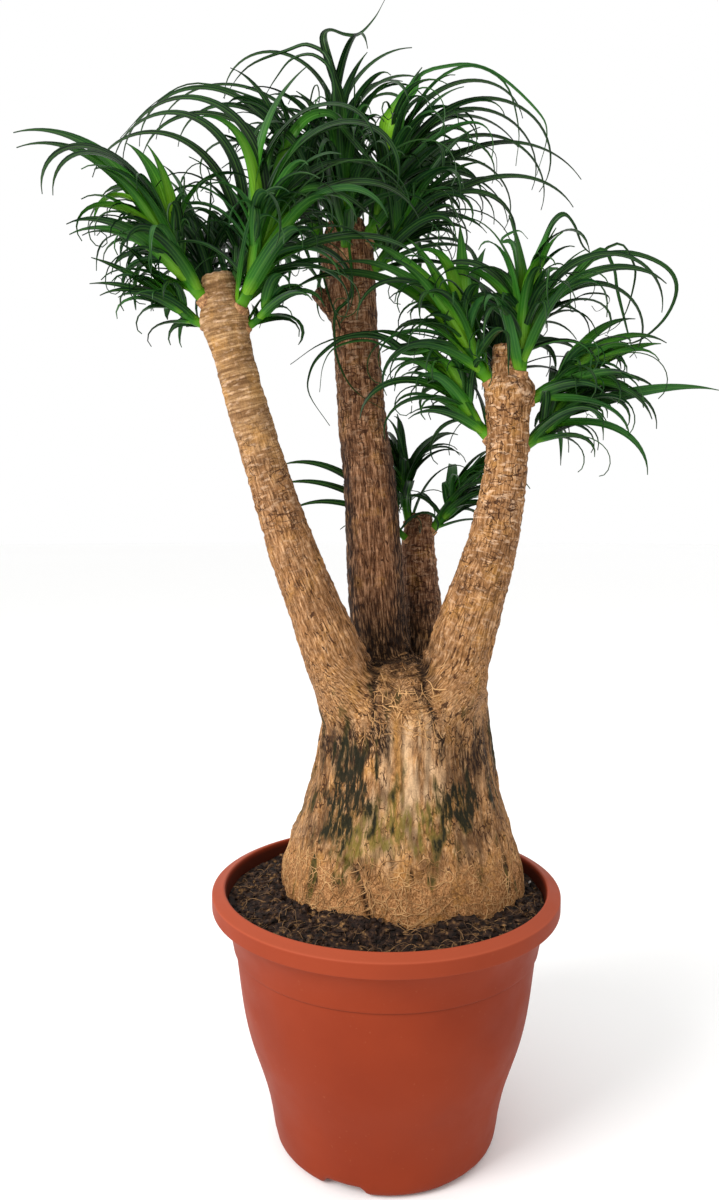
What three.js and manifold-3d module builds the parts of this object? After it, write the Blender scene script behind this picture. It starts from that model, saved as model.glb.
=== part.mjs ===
// A ponytail palm grown on a swollen base with four bare stems, in a moulded plastic nursery pot.
// Millimetres, +Z up. The origin is the middle of the pot's flat underside. +X is the plant's right
// side and -Y its front.

import * as THREE from "three";
import { mergeVertices } from "three/addons/utils/BufferGeometryUtils.js";
import Module from "manifold-3d";

// ---------------------------------------------------------------- driving dimensions

const GAP = 0.35; // clearance left between pieces that touch

// The pot: outer wall as [height, radius], from the foot up to the underside of the lip.
const POT_SIDES = 28;
const POT_HEIGHT = 247;
const POT_WALL = 3;
const POT_FLOOR = 5;
const POT_OUTER = [
  [0, 100],
  [6, 107],
  [35, 110.6],
  [70, 119],
  [104, 130.4],
  [132, 136.2],
  [197, 145.3],
  [231, 159.8],
  [233, 165],
  [243, 165],
];
const LIP_TOP_OUTER = 161;
const LIP_TOP_INNER = 155;
const LIP_INNER = 152;
const NOTCH_COUNT = 6;
const NOTCH_WIDTH = 38;
const NOTCH_HEIGHT = 4.5;
const NOTCH_INNER_RADIUS = 84;
const NOTCH_FIRST_ANGLE = 246;
const NOTCH_REACH = 60;
const DRAIN_RADIUS = 7;
const DRAIN_SIDES = 6;
const DRAIN_PLACE = 90;

// The soil: its level and radius at the pot wall, how much higher it is heaped at the trunk, the
// height of its lumps, and the rings that carry them, the innermost hidden under the trunk.
const SOIL_LEVEL = 233;
const SOIL_RADIUS = 149.8;
const SOIL_FOOT = 97;
const SOIL_HEAP = 6;
const SOIL_LUMP = 4;
const SOIL_RINGS = 4;
const SOIL_INNERMOST = 0.15;

// The swollen base: [height, radius across the front], from the buried bottom to the crown between
// the stems. Its radius front to back is CAUDEX_DEPTH times that.
const CAUDEX_CENTRE = [17.5, 15];
const CAUDEX_DEPTH = 0.86;
const CAUDEX_SIDES = 24;
const FLUTE_DEPTH = 2.2;
const FLUTE_FROM = 236;
const FLUTE_RISE = 60;
const FLUTE_LEAN = 70;
const CAUDEX = [
  [168, 62],
  [186, 100],
  [212, 114],
  [238, 117.5],
  [258, 115],
  [282, 109],
  [306, 101],
  [330, 93.5],
  [354, 87.5],
  [380, 83],
  [412, 80],
  [434, 75],
  [450, 58],
  [459, 28],
];

// The stems' centrelines, from inside the swollen base to the dead tip: [x, y, z, radius].
const STEM_SIDES = 10;
const STEM_STEP = 42;
const SCAR_RELIEF = 0.5;
const RIDGE_RELIEF = 0.025;
const STEMS = {
  left: [
    [-24, -2, 396, 34],
    [-34, -14, 432, 32],
    [-52, -26, 477, 28],
    [-68, -32, 519, 24.2],
    [-83, -38, 559, 22.3],
    [-96, -42, 599, 20],
    [-108, -46, 638, 18.6],
    [-119, -50, 676, 18],
    [-129, -54, 714, 17.4],
    [-136, -57, 742, 18],
    [-140, -58.5, 762, 22],
    [-143, -60, 781, 17],
    [-147, -62, 806, 12.5],
  ],
  centre: [
    [6, 30, 404, 36],
    [-3, 44, 463, 29.5],
    [-9, 46, 521, 28],
    [-12, 45, 585, 26.7],
    [-16, 44, 639, 25.1],
    [-22, 43, 682, 24],
    [-25, 42, 722, 23],
    [-29, 41, 771, 22],
    [-33, 40, 812, 24],
    [-37, 38, 846, 25],
    [-38, 38, 874, 17],
  ],
  right: [
    [48, -2, 398, 36],
    [59, -13, 434, 34],
    [65, -19, 464, 30.5],
    [72, -24, 491, 28.8],
    [80, -27, 518, 26.3],
    [88, -30, 545, 24.6],
    [95, -32, 572, 22.9],
    [100, -34, 599, 21.6],
    [104, -36, 626, 19.9],
    [106, -38, 660, 18.8],
    [106, -40, 690, 20],
    [106, -41, 703, 23],
    [103, -41, 721, 15],
    [101.5, -42, 744, 9.5],
  ],
  back: [
    [40, 52, 404, 32],
    [43, 72, 450, 22],
    [42, 82, 497, 18.2],
    [37, 90, 550, 17.3],
    [36, 93, 574, 17],
    [39, 95, 598, 12],
  ],
};
const SIDE_SPUR = { stem: "centre", height: 790, side: 195, heading: 175, rise: 48, reach: 24, girth: 9 };

// The green stubs of the shoots, and the sockets that they stand in.
const STUB_SIDES = 6;
const STUB_STEPS = 3;
const STUB_SUNK = 7;
const STUB_TAPER = 0.7;
const STUB_TIP = 0.35;
const SOCKET_LENGTH = 40;

// A leaf: how far its straight lengths may leave its curve, its thread-like tip, and its keel.
const BLADE_SAG = 6.5;
const BLADE_TIP = 1.6;
const KEEL_SHARE = 0.17;
const KEEL_LEAST = 0.9;

// The leaves that fill a shoot, each pair from its lowest leaf to its heart: where they root along
// the stub, how they splay from it, how far they bend over and how wide they are.
const GOLDEN_ANGLE = 137.508;
const ROOT_PLACES = [0.4, 1];
const SPLAYS = [62, 10];
const BENDS = [150, 95];
const WIDTHS = [8, 14];
const LENGTH_SHARES = [0.75, 1.15];
const LOWEST_RISE = 10;
const DRIFT = 120;
const ROLL = 70;

// Leading leaves root higher on the stub and turn their upper face to the front.
const LEADING_PLACES = [0.95, 0.6];
const LEADING_ROLL = 55;

// A leaf that meets another piece is turned, raised or shortened until it is clear.
const TURN_STEP = 6;
const TURN_TRIES = 14;
const RAISE_STEP = 3;
const SHORTER_SHARES = [1, 0.8, 0.6];

// Each leafy shoot: the stem that it grows from, at which height and on which side (degrees from +X
// towards +Y), where its green stub heads and how steeply it rises, how far it reaches, how thick it
// is, how much it lifts towards the light, and how many leaves it holds, of what length. Its leading
// leaves are the ones that give it its outline: [heading, rise, length, bend, width].
const SHOOTS = [
  {
    name: "left_low_outer_shoot", stem: "left", height: 758, side: 172, heading: 182, rise: 22,
    reach: 34, girth: 7, lift: 30, blades: 5, length: 70,
    leading: [[182, 36, 78, 20, 10], [176, 26, 78, 30, 9], [186, 58, 72, 20, 11],
      [196, 30, 70, 60, 9]],
  },
  {
    name: "left_outer_shoot", stem: "left", height: 777, side: 208, heading: 192, rise: 48,
    reach: 48, girth: 10, lift: 14, blades: 6, length: 110,
    leading: [[181, 66, 174, 74, 17], [178, 62, 170, 66, 15], [216, 76, 175, 165, 17],
      [224, 74, 166, 165, 15], [166, 84, 112, 40, 18], [195, 88, 98, 24, 17],
      [176, 74, 112, 40, 17], [184, 40, 100, 60, 12]],
  },
  {
    name: "left_inner_shoot", stem: "left", height: 770, side: 328, heading: 335, rise: 56,
    reach: 48, girth: 10, lift: 18, blades: 6, length: 150,
    leading: [[350, 98, 160, 60, 16], [170, 102, 250, 188, 14], [330, 97, 215, 185, 16],
      [340, 86, 225, 185, 17], [320, 70, 128, 90, 17], [334, 54, 150, 110, 15],
      [352, 60, 175, 120, 15], [12, 78, 190, 130, 14], [342, 24, 150, 60, 14]],
  },
  {
    name: "left_low_inner_shoot", stem: "left", height: 755, side: 350, heading: 350, rise: 30,
    reach: 24, girth: 6, lift: 20, blades: 4, length: 60,
    leading: [[345, 40, 60, 110, 8]],
  },
  {
    name: "left_rear_outer_shoot", stem: "left", height: 776, side: 128, heading: 120, rise: 58,
    reach: 46, girth: 9, lift: 16, blades: 6, length: 125,
    leading: [[172, 74, 160, 150, 13], [150, 66, 150, 150, 11], [60, 74, 150, 120, 13]],
  },
  {
    name: "left_rear_inner_shoot", stem: "left", height: 786, side: 48, heading: 60, rise: 62,
    reach: 46, girth: 9, lift: 14, blades: 6, length: 140,
    leading: [[168, 96, 230, 172, 14], [174, 84, 215, 150, 13], [20, 78, 150, 100, 14]],
  },
  {
    name: "centre_top_shoot", stem: "centre", height: 868, side: 120, heading: 120, rise: 84,
    reach: 66, girth: 11, lift: 0, blades: 7, length: 140,
    leading: [[205, 90, 118, 10, 17], [290, 98, 176, 165, 15], [182, 98, 214, 180, 10],
      [178, 62, 235, 130, 8], [25, 84, 140, 70, 14], [352, 93, 158, 90, 11],
      [168, 84, 100, 40, 17], [330, 80, 140, 150, 14], [350, 84, 150, 110, 13]],
  },
  {
    name: "centre_right_upper_shoot", stem: "centre", height: 854, side: 335, heading: 345, rise: 60,
    reach: 60, girth: 10, lift: 18, blades: 6, length: 160,
    leading: [[352, 83, 104, 18, 20], [350, 62, 105, 60, 18], [0, 66, 250, 190, 10],
      [8, 68, 230, 180, 10], [350, 82, 200, 150, 13], [20, 70, 190, 120, 11]],
  },
  {
    name: "centre_right_rear_shoot", stem: "centre", height: 848, side: 35, heading: 28, rise: 50,
    reach: 58, girth: 9, lift: 16, blades: 7, length: 160,
    leading: [[2, 62, 225, 170, 10], [5, 50, 225, 100, 10], [10, 64, 200, 180, 9]],
  },
  {
    name: "centre_right_low_shoot", stem: "centre", height: 826, side: 340, heading: 340, rise: 36,
    reach: 44, girth: 8, lift: 22, blades: 6, length: 135,
    leading: [[350, 42, 180, 90, 11], [340, 48, 145, 135, 12], [355, 56, 165, 160, 11]],
  },
  {
    name: "centre_front_shoot", stem: "centre", height: 842, side: 268, heading: 265, rise: 56,
    reach: 46, girth: 8, lift: 16, blades: 6, length: 130,
    leading: [[300, 76, 160, 150, 14], [240, 66, 140, 150, 12], [20, 56, 110, 80, 14]],
  },
  {
    name: "centre_left_shoot", stem: "centre", height: 850, side: 190, heading: 190, rise: 62,
    reach: 60, girth: 9, lift: 16, blades: 7, length: 150,
    leading: [[180, 70, 225, 150, 13], [188, 60, 195, 135, 14], [178, 80, 190, 150, 14]],
  },
  {
    name: "centre_rear_shoot", stem: "centre", height: 840, side: 92, heading: 95, rise: 60,
    reach: 60, girth: 9, lift: 14, blades: 8, length: 160,
    leading: [[120, 76, 200, 130, 13], [70, 74, 190, 120, 13]],
  },
  {
    name: "right_inner_shoot", stem: "right", height: 712, side: 196, heading: 196, rise: 50,
    reach: 52, girth: 9, lift: 16, blades: 6, length: 115,
    leading: [[170, 58, 118, 34, 17], [184, 52, 130, 60, 15], [95, 86, 104, 20, 16],
      [60, 76, 100, 30, 14], [196, 64, 140, 150, 12], [176, 50, 185, 85, 14]],
  },
  {
    name: "right_upper_shoot", stem: "right", height: 718, side: 316, heading: 300, rise: 78,
    reach: 40, girth: 10, lift: 8, blades: 7, length: 120,
    leading: [[190, 88, 94, 14, 18], [340, 82, 92, 16, 18], [0, 68, 180, 165, 13],
      [350, 54, 140, 95, 15], [180, 78, 125, 130, 15], [300, 78, 92, 30, 16],
      [6, 60, 175, 190, 11], [300, 96, 150, 165, 13]],
  },
  {
    name: "right_outer_shoot", stem: "right", height: 697, side: 4, heading: 357, rise: 20,
    reach: 38, girth: 9, lift: 24, blades: 6, length: 90,
    leading: [[0, 28, 110, 14, 15], [350, 50, 100, 80, 12], [10, 64, 95, 60, 12],
      [352, 10, 95, 80, 11]],
  },
  {
    name: "right_low_outer_shoot", stem: "right", height: 656, side: 15, heading: 15, rise: 34,
    reach: 42, girth: 8, lift: 18, blades: 6, length: 95,
    leading: [[358, 20, 148, 24, 15], [350, 44, 118, 130, 11], [5, 54, 120, 100, 12],
      [340, 10, 112, 96, 10]],
  },
  {
    name: "right_low_inner_shoot", stem: "right", height: 664, side: 160, heading: 166, rise: 48,
    reach: 46, girth: 9, lift: 16, blades: 6, length: 100,
    leading: [[170, 60, 110, 60, 16], [160, 68, 105, 90, 14], [182, 40, 120, 120, 11]],
  },
  {
    name: "right_rear_shoot", stem: "right", height: 706, side: 92, heading: 90, rise: 56,
    reach: 46, girth: 9, lift: 16, blades: 8, length: 110,
    leading: [[60, 70, 130, 110, 14], [130, 76, 120, 100, 14], [40, 60, 115, 190, 11],
      [10, 40, 85, 80, 13]],
  },
  {
    name: "back_top_shoot", stem: "back", height: 590, side: 190, heading: 190, rise: 78,
    reach: 44, girth: 8, lift: 6, blades: 6, length: 90,
    leading: [[250, 86, 70, 30, 15], [170, 80, 85, 70, 13], [330, 76, 90, 90, 13],
      [20, 74, 85, 60, 13]],
  },
  {
    name: "back_right_shoot", stem: "back", height: 582, side: 345, heading: 350, rise: 46,
    reach: 38, girth: 8, lift: 16, blades: 6, length: 90,
    leading: [[355, 60, 105, 60, 13], [320, 30, 95, 110, 10]],
  },
  {
    name: "back_left_shoot", stem: "back", height: 572, side: 215, heading: 190, rise: 42,
    reach: 28, girth: 6, lift: 24, blades: 5, length: 75,
    leading: [[178, 50, 135, 60, 12], [181, 38, 125, 50, 11], [186, 28, 115, 50, 9]],
  },
];

// ---------------------------------------------------------------- solids

const wasm = await Module();
wasm.setup();

// A three.js geometry as a solid that can be joined and cut.
function solidOf(geometry) {
  geometry.deleteAttribute("normal");
  geometry.deleteAttribute("uv");
  const merged = mergeVertices(geometry, 1e-3);
  const triVerts = new Uint32Array(merged.index.array);
  const vertProperties = merged.attributes.position.array;
  return new wasm.Manifold(new wasm.Mesh({ numProp: 3, vertProperties, triVerts }));
}

// The largest body of a joined solid, with any hollow that the joining sealed filled in.
const wholeOf = (solid) => solid.decompose().reduce((a, b) => (b.volume() > a.volume() ? b : a));

function geometryOf(solid) {
  const { numProp, vertProperties, triVerts } = solid.getMesh();
  const places = new Float32Array((vertProperties.length / numProp) * 3);
  for (let i = 0; i < places.length / 3; i++) {
    places.set(vertProperties.subarray(i * numProp, i * numProp + 3), i * 3);
  }
  const geometry = new THREE.BufferGeometry();
  geometry.setAttribute("position", new THREE.BufferAttribute(places, 3));
  geometry.setIndex(new THREE.BufferAttribute(triVerts, 1));
  return geometry;
}

// The joined or cut solid as a named mesh in the part's colour. Corners that fall together once they
// are merged can pinch off a scrap or a hollow, so it is made whole until merging leaves one body.
function meshOf(name, solid, look) {
  let geometry = geometryOf(wholeOf(solid));
  for (let tries = 0; tries < 6; tries++) {
    const merged = solidOf(geometry.clone());
    if (merged.decompose().length === 1) break;
    geometry = geometryOf(wholeOf(merged));
  }
  geometry.computeVertexNormals();
  const mesh = new THREE.Mesh(geometry, look);
  mesh.name = name;
  return mesh;
}

// A closed skin over rings of points that all have the same number of points, each ring
// anticlockwise as seen from the last one. Every quad is split the same way.
function skin(rings) {
  const sides = rings[0].length;
  const places = rings.flat().flatMap((point) => [point.x, point.y, point.z]);
  const faces = [];
  for (let r = 0; r < rings.length - 1; r++) {
    for (let s = 0; s < sides; s++) {
      const near = r * sides + s;
      const nearNext = r * sides + ((s + 1) % sides);
      faces.push(near, nearNext, nearNext + sides, near, nearNext + sides, near + sides);
    }
  }
  const last = (rings.length - 1) * sides;
  for (let s = 1; s < sides - 1; s++) {
    faces.push(0, s + 1, s, last, last + s, last + s + 1);
  }
  const geometry = new THREE.BufferGeometry();
  geometry.setAttribute("position", new THREE.Float32BufferAttribute(places, 3));
  geometry.setIndex(faces);
  return solidOf(geometry);
}

const lathed = (profile, sides) =>
  solidOf(
    new THREE.LatheGeometry(
      profile.map(([height, radius]) => new THREE.Vector2(radius, height)),
      sides,
    ).rotateX(Math.PI / 2),
  );

const mix = (a, b, share) => a + (b - a) * share;

// A draw between 0 and 1 that is always the same for the same seed.
function chance(seed) {
  const value = Math.sin(seed * 12.9898) * 43758.5453;
  return value - Math.floor(value);
}

const radians = THREE.MathUtils.degToRad;

// The direction at a heading (degrees from +X towards +Y) and a rise above level.
function aim(heading, rise) {
  const level = Math.cos(radians(rise));
  return new THREE.Vector3(
    level * Math.cos(radians(heading)),
    level * Math.sin(radians(heading)),
    Math.sin(radians(rise)),
  );
}

// A ring of points round a centre, square to a direction, with a radius for each angle.
function ringRound(centre, along, sides, radiusAt) {
  const across = new THREE.Vector3(0, 1, 0).cross(along).normalize();
  const over = along.clone().cross(across);
  return Array.from({ length: sides }, (_, s) => {
    const angle = (2 * Math.PI * s) / sides;
    const radius = radiusAt(angle);
    return centre
      .clone()
      .addScaledVector(across, radius * Math.cos(angle))
      .addScaledVector(over, radius * Math.sin(angle));
  });
}

// ---------------------------------------------------------------- pot and soil

const innerWall = POT_OUTER.filter(([height]) => height > POT_FLOOR && height < 200).map(
  ([height, radius]) => [height, radius - POT_WALL],
);

function makePot() {
  const body = lathed(
    [
      [0, 0],
      ...POT_OUTER,
      [POT_HEIGHT, LIP_TOP_OUTER],
      [POT_HEIGHT, LIP_TOP_INNER],
      [POT_HEIGHT - 3, LIP_INNER],
      [POT_HEIGHT - 26, LIP_INNER - 3],
      ...innerWall.toReversed(),
      [POT_FLOOR, 98],
      [POT_FLOOR, 0],
    ],
    POT_SIDES,
  );
  let pot = body;
  for (let n = 0; n < NOTCH_COUNT; n++) {
    const turn = radians(NOTCH_FIRST_ANGLE + (n * 360) / NOTCH_COUNT);
    const notch = new THREE.BoxGeometry(NOTCH_REACH, NOTCH_WIDTH, 2 * NOTCH_HEIGHT)
      .translate(NOTCH_INNER_RADIUS + NOTCH_REACH / 2, 0, 0)
      .rotateZ(turn);
    const drain = new THREE.CylinderGeometry(DRAIN_RADIUS, DRAIN_RADIUS, 4 * POT_FLOOR, DRAIN_SIDES)
      .rotateX(Math.PI / 2)
      .translate(DRAIN_PLACE, 0, 0)
      .rotateZ(turn);
    pot = pot.subtract(solidOf(notch)).subtract(solidOf(drain));
  }
  return pot;
}

// The soil's surface: lumps on a level that rises towards the trunk.
function soilHeight(angle, share) {
  const broad = Math.sin(3 * angle + 14 * share);
  const middling = Math.sin(5 * angle + 9 * share);
  const fine = Math.sin(11 * angle - 5 * share + 2);
  const room = Math.min(1, 4 * (1 - share));
  return SOIL_LEVEL + SOIL_HEAP * (1 - share) + (SOIL_LUMP / 3) * (broad + middling + fine) * room;
}

function makeSoil(caudexRoom) {
  const round = (radius, heightAt) =>
    Array.from({ length: POT_SIDES }, (_, s) => {
      const angle = (2 * Math.PI * s) / POT_SIDES;
      return new THREE.Vector3(Math.cos(angle) * radius, Math.sin(angle) * radius, heightAt(angle));
    });
  const rings = [round(SOIL_FOOT, () => POT_FLOOR + GAP)];
  for (const [height, radius] of innerWall.slice(1)) {
    rings.push(round(radius - 2 * GAP, () => height));
  }
  for (let r = 0; r <= SOIL_RINGS; r++) {
    const share = mix(1, SOIL_INNERMOST, r / SOIL_RINGS);
    rings.push(round(share * SOIL_RADIUS, (angle) => soilHeight(angle, share)));
  }
  return skin(rings).subtract(caudexRoom);
}

// ---------------------------------------------------------------- trunk

// The swollen base, with a shallow fluting that fades out below the soil, or the plain room for it.
function makeCaudex(clearance) {
  const [centreX, centreY] = CAUDEX_CENTRE;
  const rings = CAUDEX.map(([height, radius]) => {
    const fluted = THREE.MathUtils.clamp((height - FLUTE_FROM) / FLUTE_RISE, 0, 1);
    const flute = clearance ? 0 : fluted * FLUTE_DEPTH;
    const lean = height / FLUTE_LEAN;
    return Array.from({ length: CAUDEX_SIDES }, (_, s) => {
      const angle = (2 * Math.PI * s) / CAUDEX_SIDES;
      const wave = Math.cos(9 * angle + lean) + 0.6 * Math.cos(5 * angle - 1.3 * lean + 1);
      const reach = radius + clearance + flute * wave;
      return new THREE.Vector3(
        centreX + reach * Math.cos(angle),
        centreY + reach * CAUDEX_DEPTH * Math.sin(angle),
        height - (height === CAUDEX[0][0] ? clearance : 0),
      );
    });
  });
  return skin(rings);
}

// A stem's centreline as a smooth curve, with its radius at each share of the way.
function stemLine(stations) {
  const curve = new THREE.CatmullRomCurve3(stations.map(([x, y, z]) => new THREE.Vector3(x, y, z)));
  const radiusAt = (share) => {
    const place = share * (stations.length - 1);
    const below = Math.min(Math.floor(place), stations.length - 2);
    return mix(stations[below][3], stations[below + 1][3], place - below);
  };
  return { curve, radiusAt, spans: stations.length - 1 };
}

const stemLines = Object.fromEntries(Object.entries(STEMS).map(([name, list]) => [name, stemLine(list)]));

// The centre and radius of a stem where it passes a height.
function stemAt(name, height) {
  const { curve, radiusAt } = stemLines[name];
  let low = 0;
  let high = 1;
  for (let i = 0; i < 20; i++) {
    const middle = (low + high) / 2;
    if (curve.getPoint(middle).z < height) low = middle;
    else high = middle;
  }
  return { centre: curve.getPoint(low), radius: radiusAt(low) };
}

// A bare stem: bark ridges that wander up it, and the raised rings of old leaf scars.
function makeStem(name, seed) {
  const { curve, radiusAt } = stemLines[name];
  const steps = Math.round(curve.getLength() / STEM_STEP);
  const rings = [];
  for (let i = 0; i <= steps; i++) {
    const share = i / steps;
    const radius = radiusAt(share) + (i % 2 ? SCAR_RELIEF : -SCAR_RELIEF);
    const ridge = (angle) => radius * (1 + RIDGE_RELIEF * Math.cos(5 * angle + 6 * share + seed));
    rings.push(ringRound(curve.getPoint(share), curve.getTangent(share), STEM_SIDES, ridge));
  }
  return skin(rings);
}

// Where a shoot leaves its stem, and the way that it grows there.
function footOf(shoot) {
  const { centre, radius } = stemAt(shoot.stem, shoot.height);
  const out = aim(shoot.side, 0).multiplyScalar(radius - 2);
  return { foot: centre.add(out), along: aim(shoot.heading, shoot.rise) };
}

// A plain round plug along a line, for the spur or for the socket that a shoot stands in.
function plug(from, along, length, radiusFrom, radiusTo) {
  const far = from.clone().addScaledVector(along, length);
  return skin([
    ringRound(from, along, STUB_SIDES, () => radiusFrom),
    ringRound(far, along, STUB_SIDES, () => radiusTo),
  ]);
}

function makeTrunk() {
  let trunk = makeCaudex(0);
  Object.keys(STEMS).forEach((name, seed) => {
    trunk = trunk.add(makeStem(name, 2 * seed));
  });
  const spur = footOf(SIDE_SPUR);
  const spurFrom = spur.foot.clone().addScaledVector(spur.along, -SIDE_SPUR.girth);
  const spurLength = SIDE_SPUR.reach + SIDE_SPUR.girth;
  trunk = trunk.add(plug(spurFrom, spur.along, spurLength, SIDE_SPUR.girth, 0.8 * SIDE_SPUR.girth));
  for (const shoot of SHOOTS) {
    const { foot, along } = footOf(shoot);
    const from = foot.clone().addScaledVector(along, -STUB_SUNK - GAP);
    const girth = shoot.girth + GAP;
    trunk = trunk.subtract(plug(from, along, SOCKET_LENGTH, girth, girth));
  }
  return trunk;
}

// ---------------------------------------------------------------- shoots

// The line of a shoot's green stub, which lifts towards the light as it grows.
function stubLine(shoot) {
  const { foot, along } = footOf(shoot);
  const points = [foot.clone()];
  const directions = [along];
  for (let i = 0; i < STUB_STEPS; i++) {
    const rise = Math.min(88, shoot.rise + (shoot.lift * (i + 0.5)) / STUB_STEPS);
    const step = i === 0 ? along : aim(shoot.heading, rise);
    points.push(points.at(-1).clone().addScaledVector(step, shoot.reach / STUB_STEPS));
    directions.push(step);
  }
  return { points, directions };
}

function alongStub(line, share) {
  const place = Math.min(Math.max(share, 0), 1) * STUB_STEPS;
  const below = Math.min(Math.floor(place), STUB_STEPS - 1);
  return {
    point: line.points[below].clone().lerp(line.points[below + 1], place - below),
    direction: line.directions[below + 1],
  };
}

function makeStub(shoot, line) {
  const { foot, along } = footOf(shoot);
  const sunk = foot.clone().addScaledVector(along, -STUB_SUNK);
  const tip = line.points.at(-1).clone().addScaledVector(line.directions.at(-1), shoot.girth / 2);
  const rings = [ringRound(sunk, along, STUB_SIDES, () => shoot.girth)];
  for (let i = 1; i <= STUB_STEPS; i++) {
    const girth = shoot.girth * mix(1, STUB_TAPER, i / STUB_STEPS);
    rings.push(ringRound(line.points[i], line.directions[i], STUB_SIDES, () => girth));
  }
  rings.push(ringRound(tip, line.directions.at(-1), STUB_SIDES, () => shoot.girth * STUB_TIP));
  return skin(rings);
}

// A leaf: a long strap, flat above and keeled below, that bends under its own weight, rolls about its
// own line and draws out to a thread. The spare is added all round it where its room is tested.
function makeBlade({ root, heading, rise, length, bend, width, drift, roll }, spare) {
  const curved = Math.sqrt((length * radians(bend)) / (8 * BLADE_SAG));
  const steps = Math.max(2, Math.round(curved));
  const rings = [];
  const middle = root.clone();
  for (let i = 0; i <= steps; i++) {
    const share = i / steps;
    const turned = heading + drift * share * share;
    const along = aim(turned, rise - bend * share ** 1.6);
    const across = aim(turned - 90, 0).applyAxisAngle(along, radians(roll));
    const over = across.clone().cross(along);
    const full = width * Math.min(1, 0.75 + 1.6 * share) * (1 - share) ** 0.75;
    const half = Math.max(full, BLADE_TIP) / 2 + spare;
    const keel = Math.max(KEEL_LEAST, KEEL_SHARE * full) + spare;
    rings.push([
      middle.clone().addScaledVector(across, -half).addScaledVector(over, spare),
      middle.clone().addScaledVector(across, half).addScaledVector(over, spare),
      middle.clone().addScaledVector(over, -keel),
    ]);
    const ahead = (i + 0.5) / steps;
    const next = aim(heading + drift * ahead * ahead, rise - bend * ahead ** 1.6);
    middle.addScaledVector(next, length / steps);
  }
  return skin(rings);
}

// The leaves of one shoot: the leading ones, and then the rest, spiralling up the stub by the golden
// angle, from low ones that splay and droop to steep ones at the heart.
function leavesOf(shoot, line, order) {
  const leaves = shoot.leading.map(([heading, rise, length, bend, width], n) => {
    const root = alongStub(line, mix(...LEADING_PLACES, n / shoot.leading.length)).point;
    const roll = LEADING_ROLL * Math.cos(radians(heading));
    return { root, heading, rise, length, bend, width, drift: 0, roll };
  });
  for (let n = 0; n < shoot.blades; n++) {
    const share = n / (shoot.blades - 1);
    const seed = 100 * order + 1.7 * n + 3;
    const angle = radians(n * GOLDEN_ANGLE + 40 * order);
    const splay = radians(mix(...SPLAYS, share ** 0.9) + 14 * (chance(seed) - 0.5));
    const { point, direction } = alongStub(line, mix(...ROOT_PLACES, share));
    const axis = direction.clone().add(new THREE.Vector3(0, 0, 0.25)).normalize();
    const across = axis.clone().cross(new THREE.Vector3(0, 0, 1)).normalize();
    const over = across.clone().cross(axis);
    const out = axis
      .clone()
      .multiplyScalar(Math.cos(splay))
      .addScaledVector(across, Math.cos(angle) * Math.sin(splay))
      .addScaledVector(over, Math.sin(angle) * Math.sin(splay));
    const steepness = THREE.MathUtils.radToDeg(Math.asin(out.z));
    const rise = steepness < LOWEST_RISE ? mix(LOWEST_RISE, steepness, 0.4) : steepness;
    const shorter = 1 - 0.2 * (2 * share - 1) ** 2;
    leaves.push({
      root: point.addScaledVector(out, shoot.girth * 0.35),
      heading: THREE.MathUtils.radToDeg(Math.atan2(out.y, out.x)),
      rise,
      length: shoot.length * shorter * mix(...LENGTH_SHARES, chance(seed + 0.31)),
      bend: Math.min(rise + 100, mix(...BENDS, share) + 60 * (chance(seed + 0.57) - 0.5)),
      width: mix(...WIDTHS, share ** 0.6) * mix(0.8, 1.15, chance(seed + 0.19)),
      drift: DRIFT * (chance(seed + 0.83) - 0.5),
      roll: ROLL * (chance(seed + 0.71) - 0.5),
    });
  }
  return leaves;
}

// ---------------------------------------------------------------- assembly

const looks = {
  pot: new THREE.MeshStandardMaterial({ color: 0xb5573c, roughness: 0.5, metalness: 0 }),
  soil: new THREE.MeshStandardMaterial({ color: 0x2e211a, roughness: 1, metalness: 0 }),
  bark: new THREE.MeshStandardMaterial({ color: 0x97724e, roughness: 0.9, metalness: 0 }),
  leaf: new THREE.MeshStandardMaterial({ color: 0x2f6a26, roughness: 0.45, metalness: 0 }),
};

const pieces = new Map();
pieces.set("pot", makePot());
pieces.set("soil", makeSoil(makeCaudex(3 * GAP)));
pieces.set("trunk", makeTrunk());

const lines = SHOOTS.map(stubLine);
SHOOTS.forEach((shoot, order) => pieces.set(shoot.name, makeStub(shoot, lines[order])));

const boxesMeet = (a, b) =>
  [0, 1, 2].every((axis) => a.min[axis] <= b.max[axis] && b.min[axis] <= a.max[axis]);

// Whether a leaf, with room to spare, is clear of every piece but its own shoot.
function isClear(leaf, ownName) {
  const room = makeBlade(leaf, GAP);
  const box = room.boundingBox();
  for (const [name, piece] of pieces) {
    if (name === ownName || !boxesMeet(box, piece.boundingBox())) continue;
    if (!room.intersect(piece).isEmpty()) return false;
  }
  return true;
}

// Turns a leaf a little further each time to one side and the other, then shortens it, until it is
// clear of the other pieces; a leaf with no room anywhere isn't grown.
function bentClear(leaf, ownName) {
  for (const share of SHORTER_SHARES) {
    for (let n = 0; n < TURN_TRIES; n++) {
      const turn = Math.ceil(n / 2) * TURN_STEP * (n % 2 ? 1 : -1);
      const heading = leaf.heading + turn;
      const rise = leaf.rise + (n % 3) * RAISE_STEP;
      const tried = { ...leaf, heading, rise, length: leaf.length * share };
      if (isClear(tried, ownName)) return tried;
    }
  }
  return null;
}

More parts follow.
